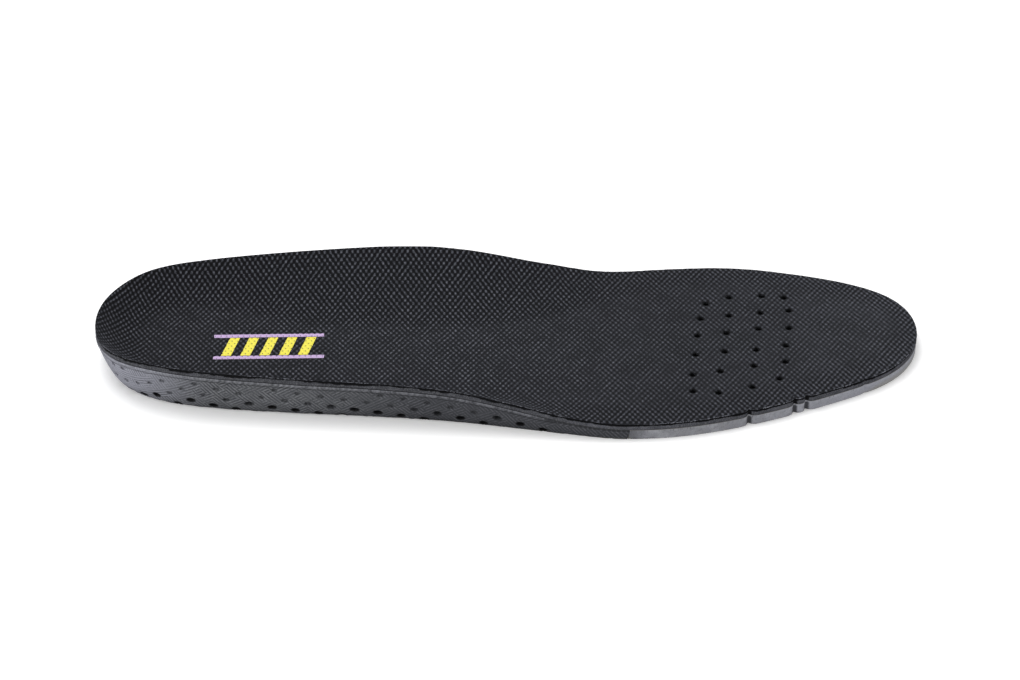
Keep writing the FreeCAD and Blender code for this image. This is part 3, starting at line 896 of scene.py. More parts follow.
def close_top(piece, plan_loop, vents):
    """The hidden upper face of a base, on the same outline as its underside."""
    rings = [plan_loop] + vents
    keep = np.vstack(rings)
    points = np.vstack([keep, thin(fill(plan_loop, 4.5), keep, 1.7)])
    xy, tri, loops = triangulate(rings, points)
    if vents:
        tri = open_vents(xy, tri)
    p = np.c_[xy, lowered_bed(TOP.from_plan(xy), LAYERS + 0.02)[:, 2]]
    p[loops[0], 2] = np.maximum(p[loops[0], 2], 0.5)
    ids = piece.add(notch_shift(p), xy)
    piece.faces(ids[tri])
    return [ids[k] for k in loops]


def close_base(piece, outer, stops, seam, lip, vents=()):
    """Adds the upper face, the lip's (drop, out, tint) rows and the wall along the seam.
    Returns the upper edges of the vents."""
    top, *vent_tops = close_top(piece, np.vstack([at_rim(RIM_XY, stops), seam[1:-1]]),
                                list(vents))
    n = len(stops)
    chart = np.c_[at_rim(SOLE.rim, stops), at_rim(SOLE.total, stops)]
    rows = [outer[:n]]
    rows += [piece.add(rim_row(stops, drop, out), chart, tint) for drop, out, tint in lip]
    rows.append(top[:n])
    piece.walls(rows, closed=False, flip=True)
    piece.walls([np.r_[ids[n - 1:], ids[:1]] for ids in (outer, top)], closed=False, flip=True)
    # the two ends of the lip, at the seam
    piece.faces([tuple(row[0] for row in rows[::-1])])
    piece.faces([tuple(row[-1] for row in rows)])
    return vent_tops


# ---------------------------------------------------------------- heel and arch base
def rear_layout():
    def allowed(q):
        i, reach = nearest_hole(q)
        return ((reach - 1) * hole_b[i] > 0.11) & ~in_polygon(q, pocket)

    numbers = range(len(holes))
    lips = np.vstack([oval(k, 0.42, math.pi / HOLE_SIDES) for k in numbers])
    hatch = grid((-76, 22, -42, 30), 0.5, 0.5, False, math.radians(49.5))
    around_pocket = np.vstack([grow(pocket, k) for k in (0.35, 0.8, 1.4, 2.1, 3.0, 4.0)])
    lines = np.vstack([resample(row, 0.8) for line in (ridge, groove)
                       for row in parallel_rows(line, (-1.1, -0.5, 0, 0.5, 1.1))])
    panel_rows = parallel_rows(resample(panel, 0.7, True), (-0.25, 0.0, 0.25, 0.5), True)
    panel_rows = np.vstack([resample(row, 0.7) for row in panel_rows])
    rim_rows = np.vstack([at_rim(SOLE.rim, rear_stops) - at_rim(OUTWARD, rear_stops) * k
                          for k in (0.35, 0.9, 1.4)])
    sets = [(lips, 0.12), (around_pocket, 0.2), (seam_rows, 0.25), (rim_rows, 0.25),
            (panel_rows, 0.2), (lines, 0.25), (resample(CONTACT[::8], 0.9, True), 0.3),
            (within(hatch, CONTACT[::4]), 0.26), (fill(rear_loop, 1.5), 0.72)]
    xy, tri, loops = underside(rear_loop, [pocket] + [oval(k) for k in numbers], sets, allowed)
    centre = xy[tri].mean(1)
    keep = ~in_polygon(centre, pocket) & (nearest_hole(centre)[1] > 0.955)
    return xy, tri[keep], loops


def rear_surface(xy):
    """Places and tints of the rear base's underside."""
    p, normal, station, climb = SOLE.lift(xy)
    x = xy[:, 0]
    pocket_d = line_distance(xy, pocket, True)
    seam_d = line_distance(xy, seam_chart)
    panel_d = line_distance(xy, panel, True)
    ridge_d, groove_d = line_distance(xy, ridge), line_distance(xy, groove)
    foot_d = line_distance(xy, CONTACT[::8], True)
    inner_d = line_distance(xy, resample(panel[:PANEL_INNER], 0.8))
    outer_edge = np.vstack([panel[PANEL_INNER:], panel[:1]])
    outer_d = line_distance(xy, resample(outer_edge, 0.8))
    near, reach = nearest_hole(xy)
    hole_d = (reach - 1) * np.sqrt(hole_a[near] * hole_b[near])
    flat = climb <= 1e-6

    hatch = flat * rise(x, -71, 8) * rise(foot_d, 0.2, 1.2) * rise(pocket_d, 1.5, 3.0)
    hatch = hatch * rise(np.minimum(ridge_d, 9), 0.15, 0.5) * rise(hole_d, 0.05, 0.3)
    # depths, in the order hatch, panel, beside the ridge, groove, pocket, seam, holes
    depth = hatch * 0.13 * (2 - stripes(xy, HATCH_A) - stripes(xy, HATCH_B)) / 2
    depth += np.where(in_polygon(xy, panel), 0.36 * rise(panel_d, -0.1, 0.55), 0.0) * flat
    depth += 0.28 * bell(ridge_d - 0.95, 0.5) * flat
    depth += 0.32 * bell(groove_d, 0.45) * flat
    depth += 0.75 * cone(pocket_d, 4.2) ** 2
    depth += 0.5 * cone(seam_d, 0.75) * seam_open(xy)
    depth += 0.20 * cone(hole_d, 0.44)
    p = p - normal * depth[:, None]
    p[:, 2] = np.maximum(p[:, 2], 0.0)

    # painted shade along the seam, round the gel pocket, in the groove and on the panel's inner
    # edge; painted highlights along the ridge and the panel's outer edge
    shade_line = np.maximum.reduce([
        0.95 * bell(seam_d, 0.42) * seam_open(xy),
        0.95 * np.clip(1.2 - pocket_d / 2.0, 0, 1),
        0.85 * bell(groove_d, 0.45) * flat,
        0.85 * bell(inner_d, 0.42) * flat])
    highlight_line = np.maximum(bell(ridge_d, 0.45), 0.9 * bell(outer_d, 0.42)) * flat
    # one channel holds the hatch from 0 to 1, lines of painted shade below 0 and lines of painted
    # highlight above 1
    marks = np.where(highlight_line > 0.06, 1 + highlight_line, hatch)
    marks = np.where(shade_line > 0.06, -shade_line, marks)
    # the wall's top edge takes the lip's pale colour, with painted shade just below it
    from_rim = at_rim(SOLE.total, station) - climb
    brow = np.where(climb > 0.8, 0.8 * fall(from_rim, 1.1, 0.9), 0.0) * fall(x, LIP_FRONT, 10)
    # painted shade round each hole's edge, as strong as the hole is dark
    spots = cone(hole_d, 0.34) * hole_dark[near]
    tint = np.stack([climb / 20.0, marks, np.where(brow > 0.01, -brow, spots)], 1)
    return p, climb, tint


def add_hole_walls(piece, xy, p, ids, loops):
    hole_normal = SOLE.lift(holes)[1]
    for k, loop in enumerate(loops):
        centre = p[loop].mean(0)
        # the hole's walls and floor take its darkness: the backing's black seen through, with
        # painted shade
        tint = (hole_climb[k] / 20, 0.0, hole_dark[k])
        chart = np.c_[xy[loop], np.full(HOLE_SIDES, hole_climb[k])]
        rows = [ids[loop]]
        for width, sink in ((0.95, 0.5), (0.86, 1.0)):
            row = centre + (p[loop] - centre) * width - hole_normal[k] * hole_depth[k] * sink
            rows.append(piece.add(row, chart, tint))
        piece.walls(rows, flip=True)
        piece.faces([tuple(rows[-1][::-1])])


def make_rear_base():
    piece = Piece()
    xy, tri, loops = rear_layout()
    p, climb, tint = rear_surface(xy)
    ids = piece.add(p, np.c_[xy, climb], tint)
    piece.faces(ids[tri][:, ::-1])
    add_hole_walls(piece, xy, p, ids, loops[2:])
    # gel pocket, its walls darkened toward the roof as painted shade
    roof = p[loops[1]].copy()
    roof[:, 2] = POCKET + 0.05
    upper = piece.add(roof, xy[loops[1]], (0.0, 0.0, 0.6))
    piece.walls([ids[loops[1]], upper])
    piece.faces([tuple(upper)])
    # lip under the backing, a little proud: drop below the layers, out, lightness, whose low
    # values become painted shade under the backing's edge
    fade = fall(at_rim(RIM_XY, rear_stops)[:, 0], LIP_FRONT, 10)
    ragged = 0.11 * wave(rear_stops % GIRTH, 31)
    lip = []
    for drop, out, light in ((0.66, 0.08, 0.85), (0.44, 0.15, 1.0), (0.22, 0.13, 1.0),
                             (0.08, 0.02, 0.5)):
        tint = np.stack([np.ones_like(fade), np.zeros_like(fade),
                         -light * np.clip(fade, 0.25, 1)], 1)
        lip.append((LAYERS + drop, (out + ragged) * fade, tint))
    close_base(piece, ids[loops[0]], rear_stops, seam_plan, lip)
    return piece


# ---------------------------------------------------------------- forefoot base
TAG_X, TAG_Y = place((210.4, -16.0))  # corner of the moulded tag
TOE_X = 85  # the mesh is finer from here to the toe


def fore_layout():
    lips = np.vstack([circle(c, VENT_R + k, VENT_SIDES, math.pi / VENT_SIDES)
                      for c in VENT_XY for k in (0.25, 0.6)])
    ribs = within(grid((5, 100, -50, 50), 1.55, RIB_PITCH / 4, False, RIB_TURN), CONTACT[::4])
    toe = within(grid((84, 146, -45, 50), 0.42, RIB_PITCH / 4, False, RIB_TURN), CONTACT[::4])
    tag = grid((TAG_X - 1.2, TAG_X + 10, TAG_Y - 1.2, TAG_Y + 14.2), 0.32, 0.32, False)
    crease = resample(CONTACT[::2], 0.8, True)
    inner = [resample(grow(CONTACT[::8], -k), 0.8, True) for k in (0.22, 0.6)]
    base, out, total = (at_rim(table, fore_stops) for table in (SOLE.base, OUTWARD, SOLE.total))
    wall_rows = np.vstack([base + out * (total * k)[:, None]
                           for k in (0.07, 0.3, 0.55, 0.8, 0.94)])
    sets = [(lips, 0.12), (seam_rows, 0.25), (crease, 0.2), (inner[0], 0.15),
            (wall_rows, 0.16), (inner[1], 0.2), (tag, 0.2), (toe[toe[:, 0] >= TOE_X], 0.2),
            (ribs[ribs[:, 0] < TOE_X], 0.24), (grid((5, 80, -50, 70), 1.4, 1.4), 0.7)]
    xy, tri, loops = underside(fore_loop, VENT_LOOPS, sets,
                               lambda q: clear_of_vents(q, VENT_R + 0.12))
    return xy, open_vents(xy, tri), loops


def tag_mask(xy, x0, x1, y0, y1):
    """1 inside a soft-edged rectangle measured from the tag's corner."""
    u, v = xy[:, 0] - TAG_X, xy[:, 1] - TAG_Y
    return smooth(np.minimum(np.minimum(u - x0, x1 - u), np.minimum(v - y0, y1 - v)) / 0.3 + 0.5)


def fore_surface(xy):
    """Places and tints of the forefoot base's underside."""
    p, normal, _, climb = SOLE.lift(xy)
    x, y = xy[:, 0], xy[:, 1]
    seam_d = line_distance(xy, seam_chart)
    foot_d = line_distance(xy, CONTACT[::4], True)
    vent_d = vent_distance(xy)
    flat, sloped = climb <= 1e-6, climb > 1e-6
    across = np.array((math.sin(-RIB_TURN), math.cos(RIB_TURN)))
    main = np.cos(2 * math.pi * (xy @ across) / RIB_PITCH)
    second = rise(x, 84, 16)
    # the moulded tag, a bar beside it, and the two raised fields within it
    tag = tag_mask(xy, 0, 6.7, 0, 13.0)
    side = tag_mask(xy, 7.1, 8.9, 0.2, 6.0)
    head = tag_mask(xy, 1.7, 5.8, 8.6, 12.4)
    bar = tag_mask(xy, 1.6, 5.9, 1.2, 7.4)
    rib = flat * rise(foot_d, 0.3, 0.9) * rise(vent_d, 0.1, 0.5) * rise(seam_d, 0.6, 0.8)
    rib = rib * (1 - np.maximum(tag, side))

    depth = rib * (0.11 * (1 - main) * (1 - 0.35 * second)
                   + 0.075 * (1 - stripes(xy, CROSS_RIBS)) * second)
    depth += (0.42 * tag - 0.26 * head - 0.20 * bar) * flat + 0.45 * side * flat
    depth += 0.5 * cone(seam_d, 0.75) * seam_open(xy)
    depth += 0.12 * cone(vent_d, 0.3)
    depth += 0.10 * cone(foot_d, 0.3)
    p = notch_shift(p - normal * depth[:, None])
    p[:, 2] = np.maximum(p[:, 2], 0.0)

    cut = np.clip(climb, 0, 4) / 4 * rise(x, 48, 14) + fall(y, -20, 6) * sloped
    cut = np.clip(cut * 1.5, 0, 1) * sloped
    # painted shade along the seam, at the tag's edges and, through the flank value, in the trim
    # notches
    edges = np.maximum.reduce([4 * k * (1 - k) for k in (tag, side, head, bar)]) * flat
    shade_line = np.maximum(0.95 * bell(seam_d, 0.40) * seam_open(xy), 0.55 * edges)
    flank = sloped * (1 - cut) - notch_shade(p) * sloped
    tint = np.stack([cut, rib, np.where(shade_line > 0.05, -shade_line, flank)], 1)
    return p, climb, tint


def make_fore_base():
    piece = Piece()
    xy, tri, loops = fore_layout()
    p, climb, tint = fore_surface(xy)
    ids = piece.add(p, np.c_[xy, climb], tint)
    piece.faces(ids[tri][:, ::-1])
    ragged = wave(fore_stops, 41)
    lip = [(LAYERS + drop, out * ragged, (1.0, 0.0, 0.0))
           for drop, out in ((0.45, 0.03), (0.12, 0.04))]
    vent_tops = close_base(piece, ids[loops[0]], fore_stops, seam_plan[::-1], lip, VENT_LOOPS)
    for loop, top in zip(loops[1:], vent_tops):
        piece.walls([ids[loop], top], flip=True)
    return piece


# ---------------------------------------------------------------- gel pad and its frame
def make_gel():
    piece = Piece()
    line = grow(gel_line, -0.06)
    face_inset = 0.95
    rows = []
    for inset, z in ((0.0, GEL_T - 0.05), (0.0, 1.2), (0.0, 0.72), (0.10, 0.44), (0.30, 0.22),
                     (0.58, 0.08), (face_inset, 0.02)):
        q = grow(line, -inset)
        # the first tint value lights the rounded edge: a painted highlight, fading onto the face
        rows.append(piece.add(np.c_[q, np.full(len(q), z)], q,
                              (1.0 - inset / face_inset, 0, 0)))
    piece.walls(rows)
    piece.faces([tuple(rows[0][::-1])])
    inner = grow(line, -face_inset)
    free = thin(fill(inner, 1.5), inner, 0.9)
    xy, tri, loops = triangulate([inner], np.vstack([inner, free]))
    d = line_distance(xy, inner, True)
    swell = 0.5 + 0.5 * np.sin(xy[:, 0] / 9.0 + 1) * np.sin(xy[:, 1] / 11.0)
    z = 0.02 * cone(d, 1.5) + 0.03 * smooth(d / 6) * swell
    face = piece.add(np.c_[xy, z], xy)
    piece.faces(face[tri][:, ::-1])
    piece.walls([rows[-1], face[loops[0]]])
    return piece


def make_frame():
    piece = Piece()
    rows = []
    for out, z in ((FRAME_WALL, POCKET), (FRAME_WALL, 1.45), (FRAME_WALL - 0.08, 1.16),
                   (FRAME_WALL - 0.32, 1.01), (0.72, FRAME_DROP), (0.34, 1.03), (0.10, 1.18),
                   (0.02, 1.45), (0.02, GEL_T)):
        q = grow(gel_line, out)
        rows.append(piece.add(np.c_[q, np.full(len(q), z)], q))
    piece.walls(rows)
    piece.faces([tuple(rows[0][::-1])])
    piece.faces([tuple(rows[-1])])
    return piece


# ---------------------------------------------------------------- printed heel mark
def print_shapes():
    """Material number and corners of each rail and bar."""
    cx, cy = place(PRINT_CENTRE)
    shapes = []
    for side in (-1, 1):
        x0, x1 = cx - RAIL_L / 2, cx + RAIL_L / 2
        y0, y1 = cy + side * RAIL_Y - RAIL_W / 2, cy + side * RAIL_Y + RAIL_W / 2
        shapes.append((0, np.array(((x0, y0), (x1, y0), (x1, y1), (x0, y1)))))
    y0 = cy - RAIL_Y + RAIL_W / 2 + BAR_GAP
    y1 = cy + RAIL_Y - RAIL_W / 2 - BAR_GAP
    lean = BAR_LEAN / 2 * (y1 - y0) / (2 * RAIL_Y)
    half = BAR_W / 2
    for i in range(BARS):
        x = cx + (i - (BARS - 1) / 2) * BAR_PITCH
        shapes.append((1, np.array(((x - lean - half, y0), (x - lean + half, y0),
                                    (x + lean + half, y1), (x + lean - half, y1)))))
    return shapes


def make_print():
    piece = Piece()
    for material, corners in print_shapes():
        line = resample(corners, 0.3, True)
        x, y = line[:, 0], line[:, 1]
        wobble = 0.04 * np.sin(x * 9.7 + y * 2.3) + 0.02 * np.sin(x * 23 - y * 7.1)
        line = grow(line, 1.0) * wobble[:, None] + line * (1 - wobble[:, None])
        points = np.vstack([line, thin(within(lattice, line), line, 0.12)])
        points = np.vstack([points, thin(fill(line, 0.36), points, 0.2)])
        xy, tri, loops = triangulate([line], points)
        rim = loops[0]
        relief = knit_relief(xy)
        z = FLOOR_Z + relief + 0.075
        z[rim] -= 0.03
        tint = (float(material), 0, 0)
        upper = piece.add(np.c_[xy, z], xy, tint)
        lower = piece.add(np.c_[xy, FLOOR_Z + relief + 0.012], xy, tint)
        piece.faces(upper[tri], material)
        piece.faces(lower[tri][:, ::-1], material)
        piece.walls([upper[rim], lower[rim]], material, flip=True)
    return piece


# ---------------------------------------------------------------- material nodes
def srgb(*channels):
    """Red, green and blue from 0 to 255 as a linear colour."""
    values = [c / 255 for c in channels]
    return tuple(v / 12.92 if v <= 0.04045 else ((v + 0.055) / 1.055) ** 2.4
                 for v in values) + (1.0,)


class Material:
    """A node material with short calls for its nodes."""

    def __init__(self, name):
        self.material = bpy.data.materials.new(name)
        self.material.use_nodes = True
        self.tree = self.material.node_tree
        self.tree.nodes.clear()
        output, self.shader = self.node("OutputMaterial"), self.node("BsdfPrincipled")
        self.tree.links.new(self.shader.outputs[0], output.inputs[0])

    def node(self, kind, inputs=None, **settings):
        node = self.tree.nodes.new("ShaderNode" + kind)
        for key, value in settings.items():
            setattr(node, key, value)
        for key, value in (inputs or {}).items():
            self.put(node.inputs[key], value)
        return node

    def put(self, socket, value):
        """Links a socket or sets a value; None leaves the default."""
        if isinstance(value, bpy.types.NodeSocket):
            self.tree.links.new(value, socket)
        elif value is not None:
            socket.default_value = value

    def finish(self, **values):
        """Sets the shader's inputs and returns the material."""
        for key, value in values.items():
            self.put(self.shader.inputs[key.replace("_", " ")], value)
        return self.material

    def attribute(self, name):
        return self.node("Attribute", attribute_name=name).outputs["Vector"]

    def split(self, vector):
        return tuple(self.node("SeparateXYZ", {0: vector}).outputs)

    def math(self, operation, a, b=None, c=None):
        return self.node("Math", {0: a, 1: b, 2: c}, operation=operation).outputs[0]

    def mul(self, a, b):
        return self.math("MULTIPLY", a, b)

    def add(self, a, b):
        return self.math("ADD", a, b)

    def inverse(self, value):
        return self.math("SUBTRACT", 1.0, value)

    def linear(self, value, gain, offset):
        return self.math("MULTIPLY_ADD", value, gain, offset)

    def jitter(self, value, noise, amount):
        """The value moved up and down by a noise centred on 0.5."""
        return self.linear(self.add(noise, -0.5), amount, value)

    def ramp(self, value, low, high):
        """Smooth step from 0 at low to 1 at high."""
        return self.node("MapRange", {0: value, 1: low, 2: high},
                         interpolation_type="SMOOTHSTEP").outputs[0]

    def mix(self, factor, a, b):
        return self.node("Mix", {0: factor, 6: a, 7: b}, data_type="RGBA").outputs[2]

    def paint(self, base, colour, mask, amount):
        """Lays a colour over the base where the mask is, with a strength of amount."""
        return self.mix(self.mul(mask, amount), base, colour)

    def noise(self, vector, scale, detail=2.0, rough=0.5, stretch=None):
        if stretch is not None:
            vector = self.node("Mapping", {0: vector, "Scale": stretch}).outputs[0]
        return self.node("TexNoise", {"Vector": vector, "Scale": scale, "Detail": detail,
                                      "Roughness": rough}).outputs[0]

    def knit_axes(self, chart):
        turned = self.node("Mapping", {0: chart, "Rotation": (0, 0, -KNIT_TURN)})
        return self.split(turned.outputs[0])[:2]

    def stripes(self, x, y, cycles):
        """Cosine stripes with the given cycles per mm along x and y."""
        across = self.mul(x, 2 * math.pi * cycles[0]), self.mul(y, 2 * math.pi * abs(cycles[1]))
        return self.math("COSINE", self.math("SUBTRACT" if cycles[1] < 0 else "ADD", *across))

    def bump(self, height, depth, strength=1.0):
        """Normal from a height, with the depth in mm."""
        return self.node("Bump", {"Strength": strength, "Distance": depth * MM,
                                  "Height": height}).outputs[0]

    def grain(self, chart, fine):
        return self.noise(chart, scale=fine, detail=2.0, rough=0.6)

    def foam(self, chart, a, b, fine):
        """Mottled foam colour and its grain."""
        mottle, grain = self.noise(chart, scale=0.22, detail=3.0), self.grain(chart, fine)
        colour = self.mix(self.ramp(mottle, low=0.32, high=0.68), a, b)
        light = self.ramp(grain, low=0.45, high=0.75)
        return self.paint(colour, srgb(200, 200, 200), light, amount=0.18), grain

    def pits(self, chart, fine):
        """Small open cells of the foam."""
        cells = self.node("TexVoronoi", {"Vector": chart, "Scale": fine * 0.9})
        return self.inverse(self.ramp(cells.outputs["Distance"], low=0.10, high=0.38))


# ---------------------------------------------------------------- materials
def cloth_material():
    m = Material("knit_cloth")
    chart, tint = m.attribute("chart"), m.attribute("tint")
    climb, pull, rim = m.split(tint)
    px, _, dip_shade = m.split(chart)
    x, y = m.knit_axes(chart)
    # the knit: two diagonals of uneven strength, loosened by specks
    a = m.mul(m.jitter(x, m.noise(chart, scale=0.45), amount=0.45), math.pi / KNIT_X)
    b = m.mul(y, math.pi / KNIT_Y)
    skew = m.mul(m.linear(pull, gain=2.0, offset=-1.0), KNIT_SKEW)
    first = m.mul(m.math("COSINE", m.add(a, b)), m.linear(skew, gain=0.5, offset=0.5))
    second = m.mul(m.math("COSINE", m.math("SUBTRACT", a, b)),
                   m.linear(skew, gain=-0.5, offset=0.5))
    knit = m.add(first, second)
    speck = m.noise(chart, scale=2.2, detail=3.0, rough=0.65)
    fade = m.ramp(m.noise(chart, scale=0.16, detail=3.0), low=0.30, high=0.68)
    slope = m.ramp(climb, low=0.02, high=0.40)
    gain = m.math("MAXIMUM", m.linear(fade, gain=0.45, offset=0.62), slope)
    knit = m.jitter(m.mul(knit, gain), speck, amount=1.25)
    pore = m.ramp(m.linear(slope, gain=0.34, offset=knit), low=0.20, high=0.78)
    knot = m.ramp(m.mul(knit, -1.0), low=0.0, high=0.95)
    blotch = m.ramp(m.noise(chart, scale=0.08, detail=3.0), low=0.3, high=0.7)
    base = m.mix(blotch, srgb(34, 35, 38), srgb(42, 43, 47))
    base = m.paint(base, srgb(50, 51, 57), slope, amount=0.15)
    # painted shade: the cloth is darkened most at the heel and the arch, more on the heel cup's
    # slopes, and less toward the toe
    painted_shade = m.linear(m.ramp(px, low=-95.0, high=-30.0), gain=-0.14, offset=0.62)
    painted_shade = m.linear(m.ramp(px, low=50.0, high=140.0), gain=-0.32, offset=painted_shade)
    rear_slope_shade = m.mul(slope, m.inverse(m.ramp(px, low=20.0, high=60.0)))
    painted_shade = m.linear(rear_slope_shade, gain=0.12, offset=painted_shade)
    fore = m.ramp(px, low=-20.0, high=60.0)
    black = srgb(6, 6, 8)
    base = m.mix(m.linear(fore, gain=-0.12, offset=painted_shade), base, black)
    lively = m.ramp(m.noise(chart, scale=1.05, detail=2.0, rough=0.7), low=0.35, high=0.70)
    bright = m.mix(fore, srgb(112, 114, 123), srgb(94, 96, 104))
    light = m.paint(m.mix(lively, srgb(56, 58, 64), bright), black, painted_shade, amount=0.46)
    colour = m.paint(m.mix(knot, base, light), srgb(7, 7, 9), pore, amount=0.9)
    # fibres, fewer where the painted shade is, lint, and the cut edge with its pale tufts
    fibre = m.noise(chart, scale=7.0, detail=3.0, rough=0.6, stretch=(1.0, 0.35, 1.0))
    colour = m.paint(colour, srgb(110, 112, 120), m.ramp(fibre, low=0.50, high=0.80),
                     amount=m.linear(painted_shade, gain=-0.16, offset=0.20))
    lint = m.ramp(m.noise(chart, scale=1.1, detail=4.0, rough=0.75), low=0.70, high=0.80)
    colour = m.paint(colour, srgb(128, 130, 138), lint, amount=0.40)
    edge = m.ramp(rim, low=0.90, high=1.0)
    colour = m.paint(colour, srgb(26, 27, 31), edge, amount=0.45)
    tuft = m.mul(m.ramp(m.noise(chart, scale=1.5, detail=3.0, rough=0.7), low=0.46, high=0.58),
                 m.ramp(m.noise(chart, scale=0.10), low=0.34, high=0.56))
    colour = m.paint(colour, srgb(150, 152, 162), m.mul(edge, tuft), amount=0.78)
    # painted shade in the dips round the vents and in the trim notches
    dip_shade_mask = m.ramp(m.jitter(dip_shade, speck, amount=0.5), low=0.42, high=0.92)
    colour = m.paint(colour, srgb(5, 5, 6), dip_shade_mask, amount=0.93)
    height = m.add(m.mul(knit, -0.6), m.mul(fibre, 0.8))
    return m.finish(Base_Color=colour, Roughness=0.94, Specular_IOR_Level=0.10,
                    Normal=m.bump(height, depth=0.10, strength=0.85),
                    Sheen_Weight=0.05, Sheen_Roughness=0.5, Sheen_Tint=srgb(190, 195, 210))


def backing_material():
    m = Material("backing_foam")
    chart = m.attribute("chart")
    _, rearward, light = m.split(m.attribute("tint"))
    rear, grain = m.foam(chart, srgb(64, 65, 70), srgb(78, 79, 85), fine=2.6)
    pits = m.pits(chart, fine=2.6)
    fore, _ = m.foam(chart, srgb(74, 75, 81), srgb(90, 91, 98), fine=2.6)
    colour = m.mix(rearward, fore, rear)
    colour = m.paint(colour, srgb(30, 31, 34), pits, amount=0.55)
    streak = m.noise(chart, scale=1.3, detail=3.0, rough=0.6, stretch=(1.0, 1.0, 3.0))
    colour = m.paint(colour, srgb(36, 37, 41), m.ramp(streak, low=0.50, high=0.72), amount=0.45)
    # painted shade: black in the gap under the cloth and in the notches, ragged along the edge
    ragged = m.add(light, m.mul(m.add(m.noise(chart, scale=1.8), -0.5), 0.9))
    gap = m.inverse(m.ramp(ragged, low=0.30, high=0.75))
    colour = m.paint(colour, srgb(4, 4, 5), gap, amount=0.94)
    height = m.math("SUBTRACT", grain, m.mul(pits, 0.8))
    return m.finish(Base_Color=colour, Roughness=0.9, Normal=m.bump(height, depth=0.10),
                    Specular_IOR_Level=0.15)


def rear_level_colour(m, chart, x, y, marks):
    """Level part of the heel and arch base: a fine lattice of raised diamonds, with painted shade
    in its valleys, painted highlights on its crests, and painted light toward +Y.
    """
    hatch = m.math("MINIMUM", m.math("MAXIMUM", marks, 0.0), 1.0)
    both = m.add(m.stripes(x, y, HATCH_A), m.stripes(x, y, HATCH_B))
    both = m.jitter(both, m.noise(chart, scale=1.4), amount=1.4)
    level = m.mix(m.ramp(m.noise(chart, scale=0.05), low=0.3, high=0.7),
                  srgb(100, 101, 98), srgb(112, 113, 110))
    # painted shade in the valleys of the hatch
    valley_shade = m.mul(m.ramp(m.mul(both, -1.0), low=-0.7, high=1.0), hatch)
    level = m.paint(level, srgb(44, 44, 43), valley_shade, amount=0.80)
    # painted highlight on the crests of the hatch
    crest_highlight = m.mul(m.ramp(both, low=0.7, high=1.8), hatch)
    level = m.paint(level, srgb(146, 146, 142), crest_highlight, amount=0.35)
    # painted light on the level part toward +Y, beside the arch
    level = m.paint(level, srgb(138, 139, 136), m.ramp(y, low=5.0, high=15.0), amount=0.45)
    shade = m.mul(m.ramp(x, low=-50.0, high=-25.0), m.inverse(m.ramp(y, low=0.0, high=4.0)))
    return m.paint(level, srgb(76, 77, 75), shade, amount=0.50)


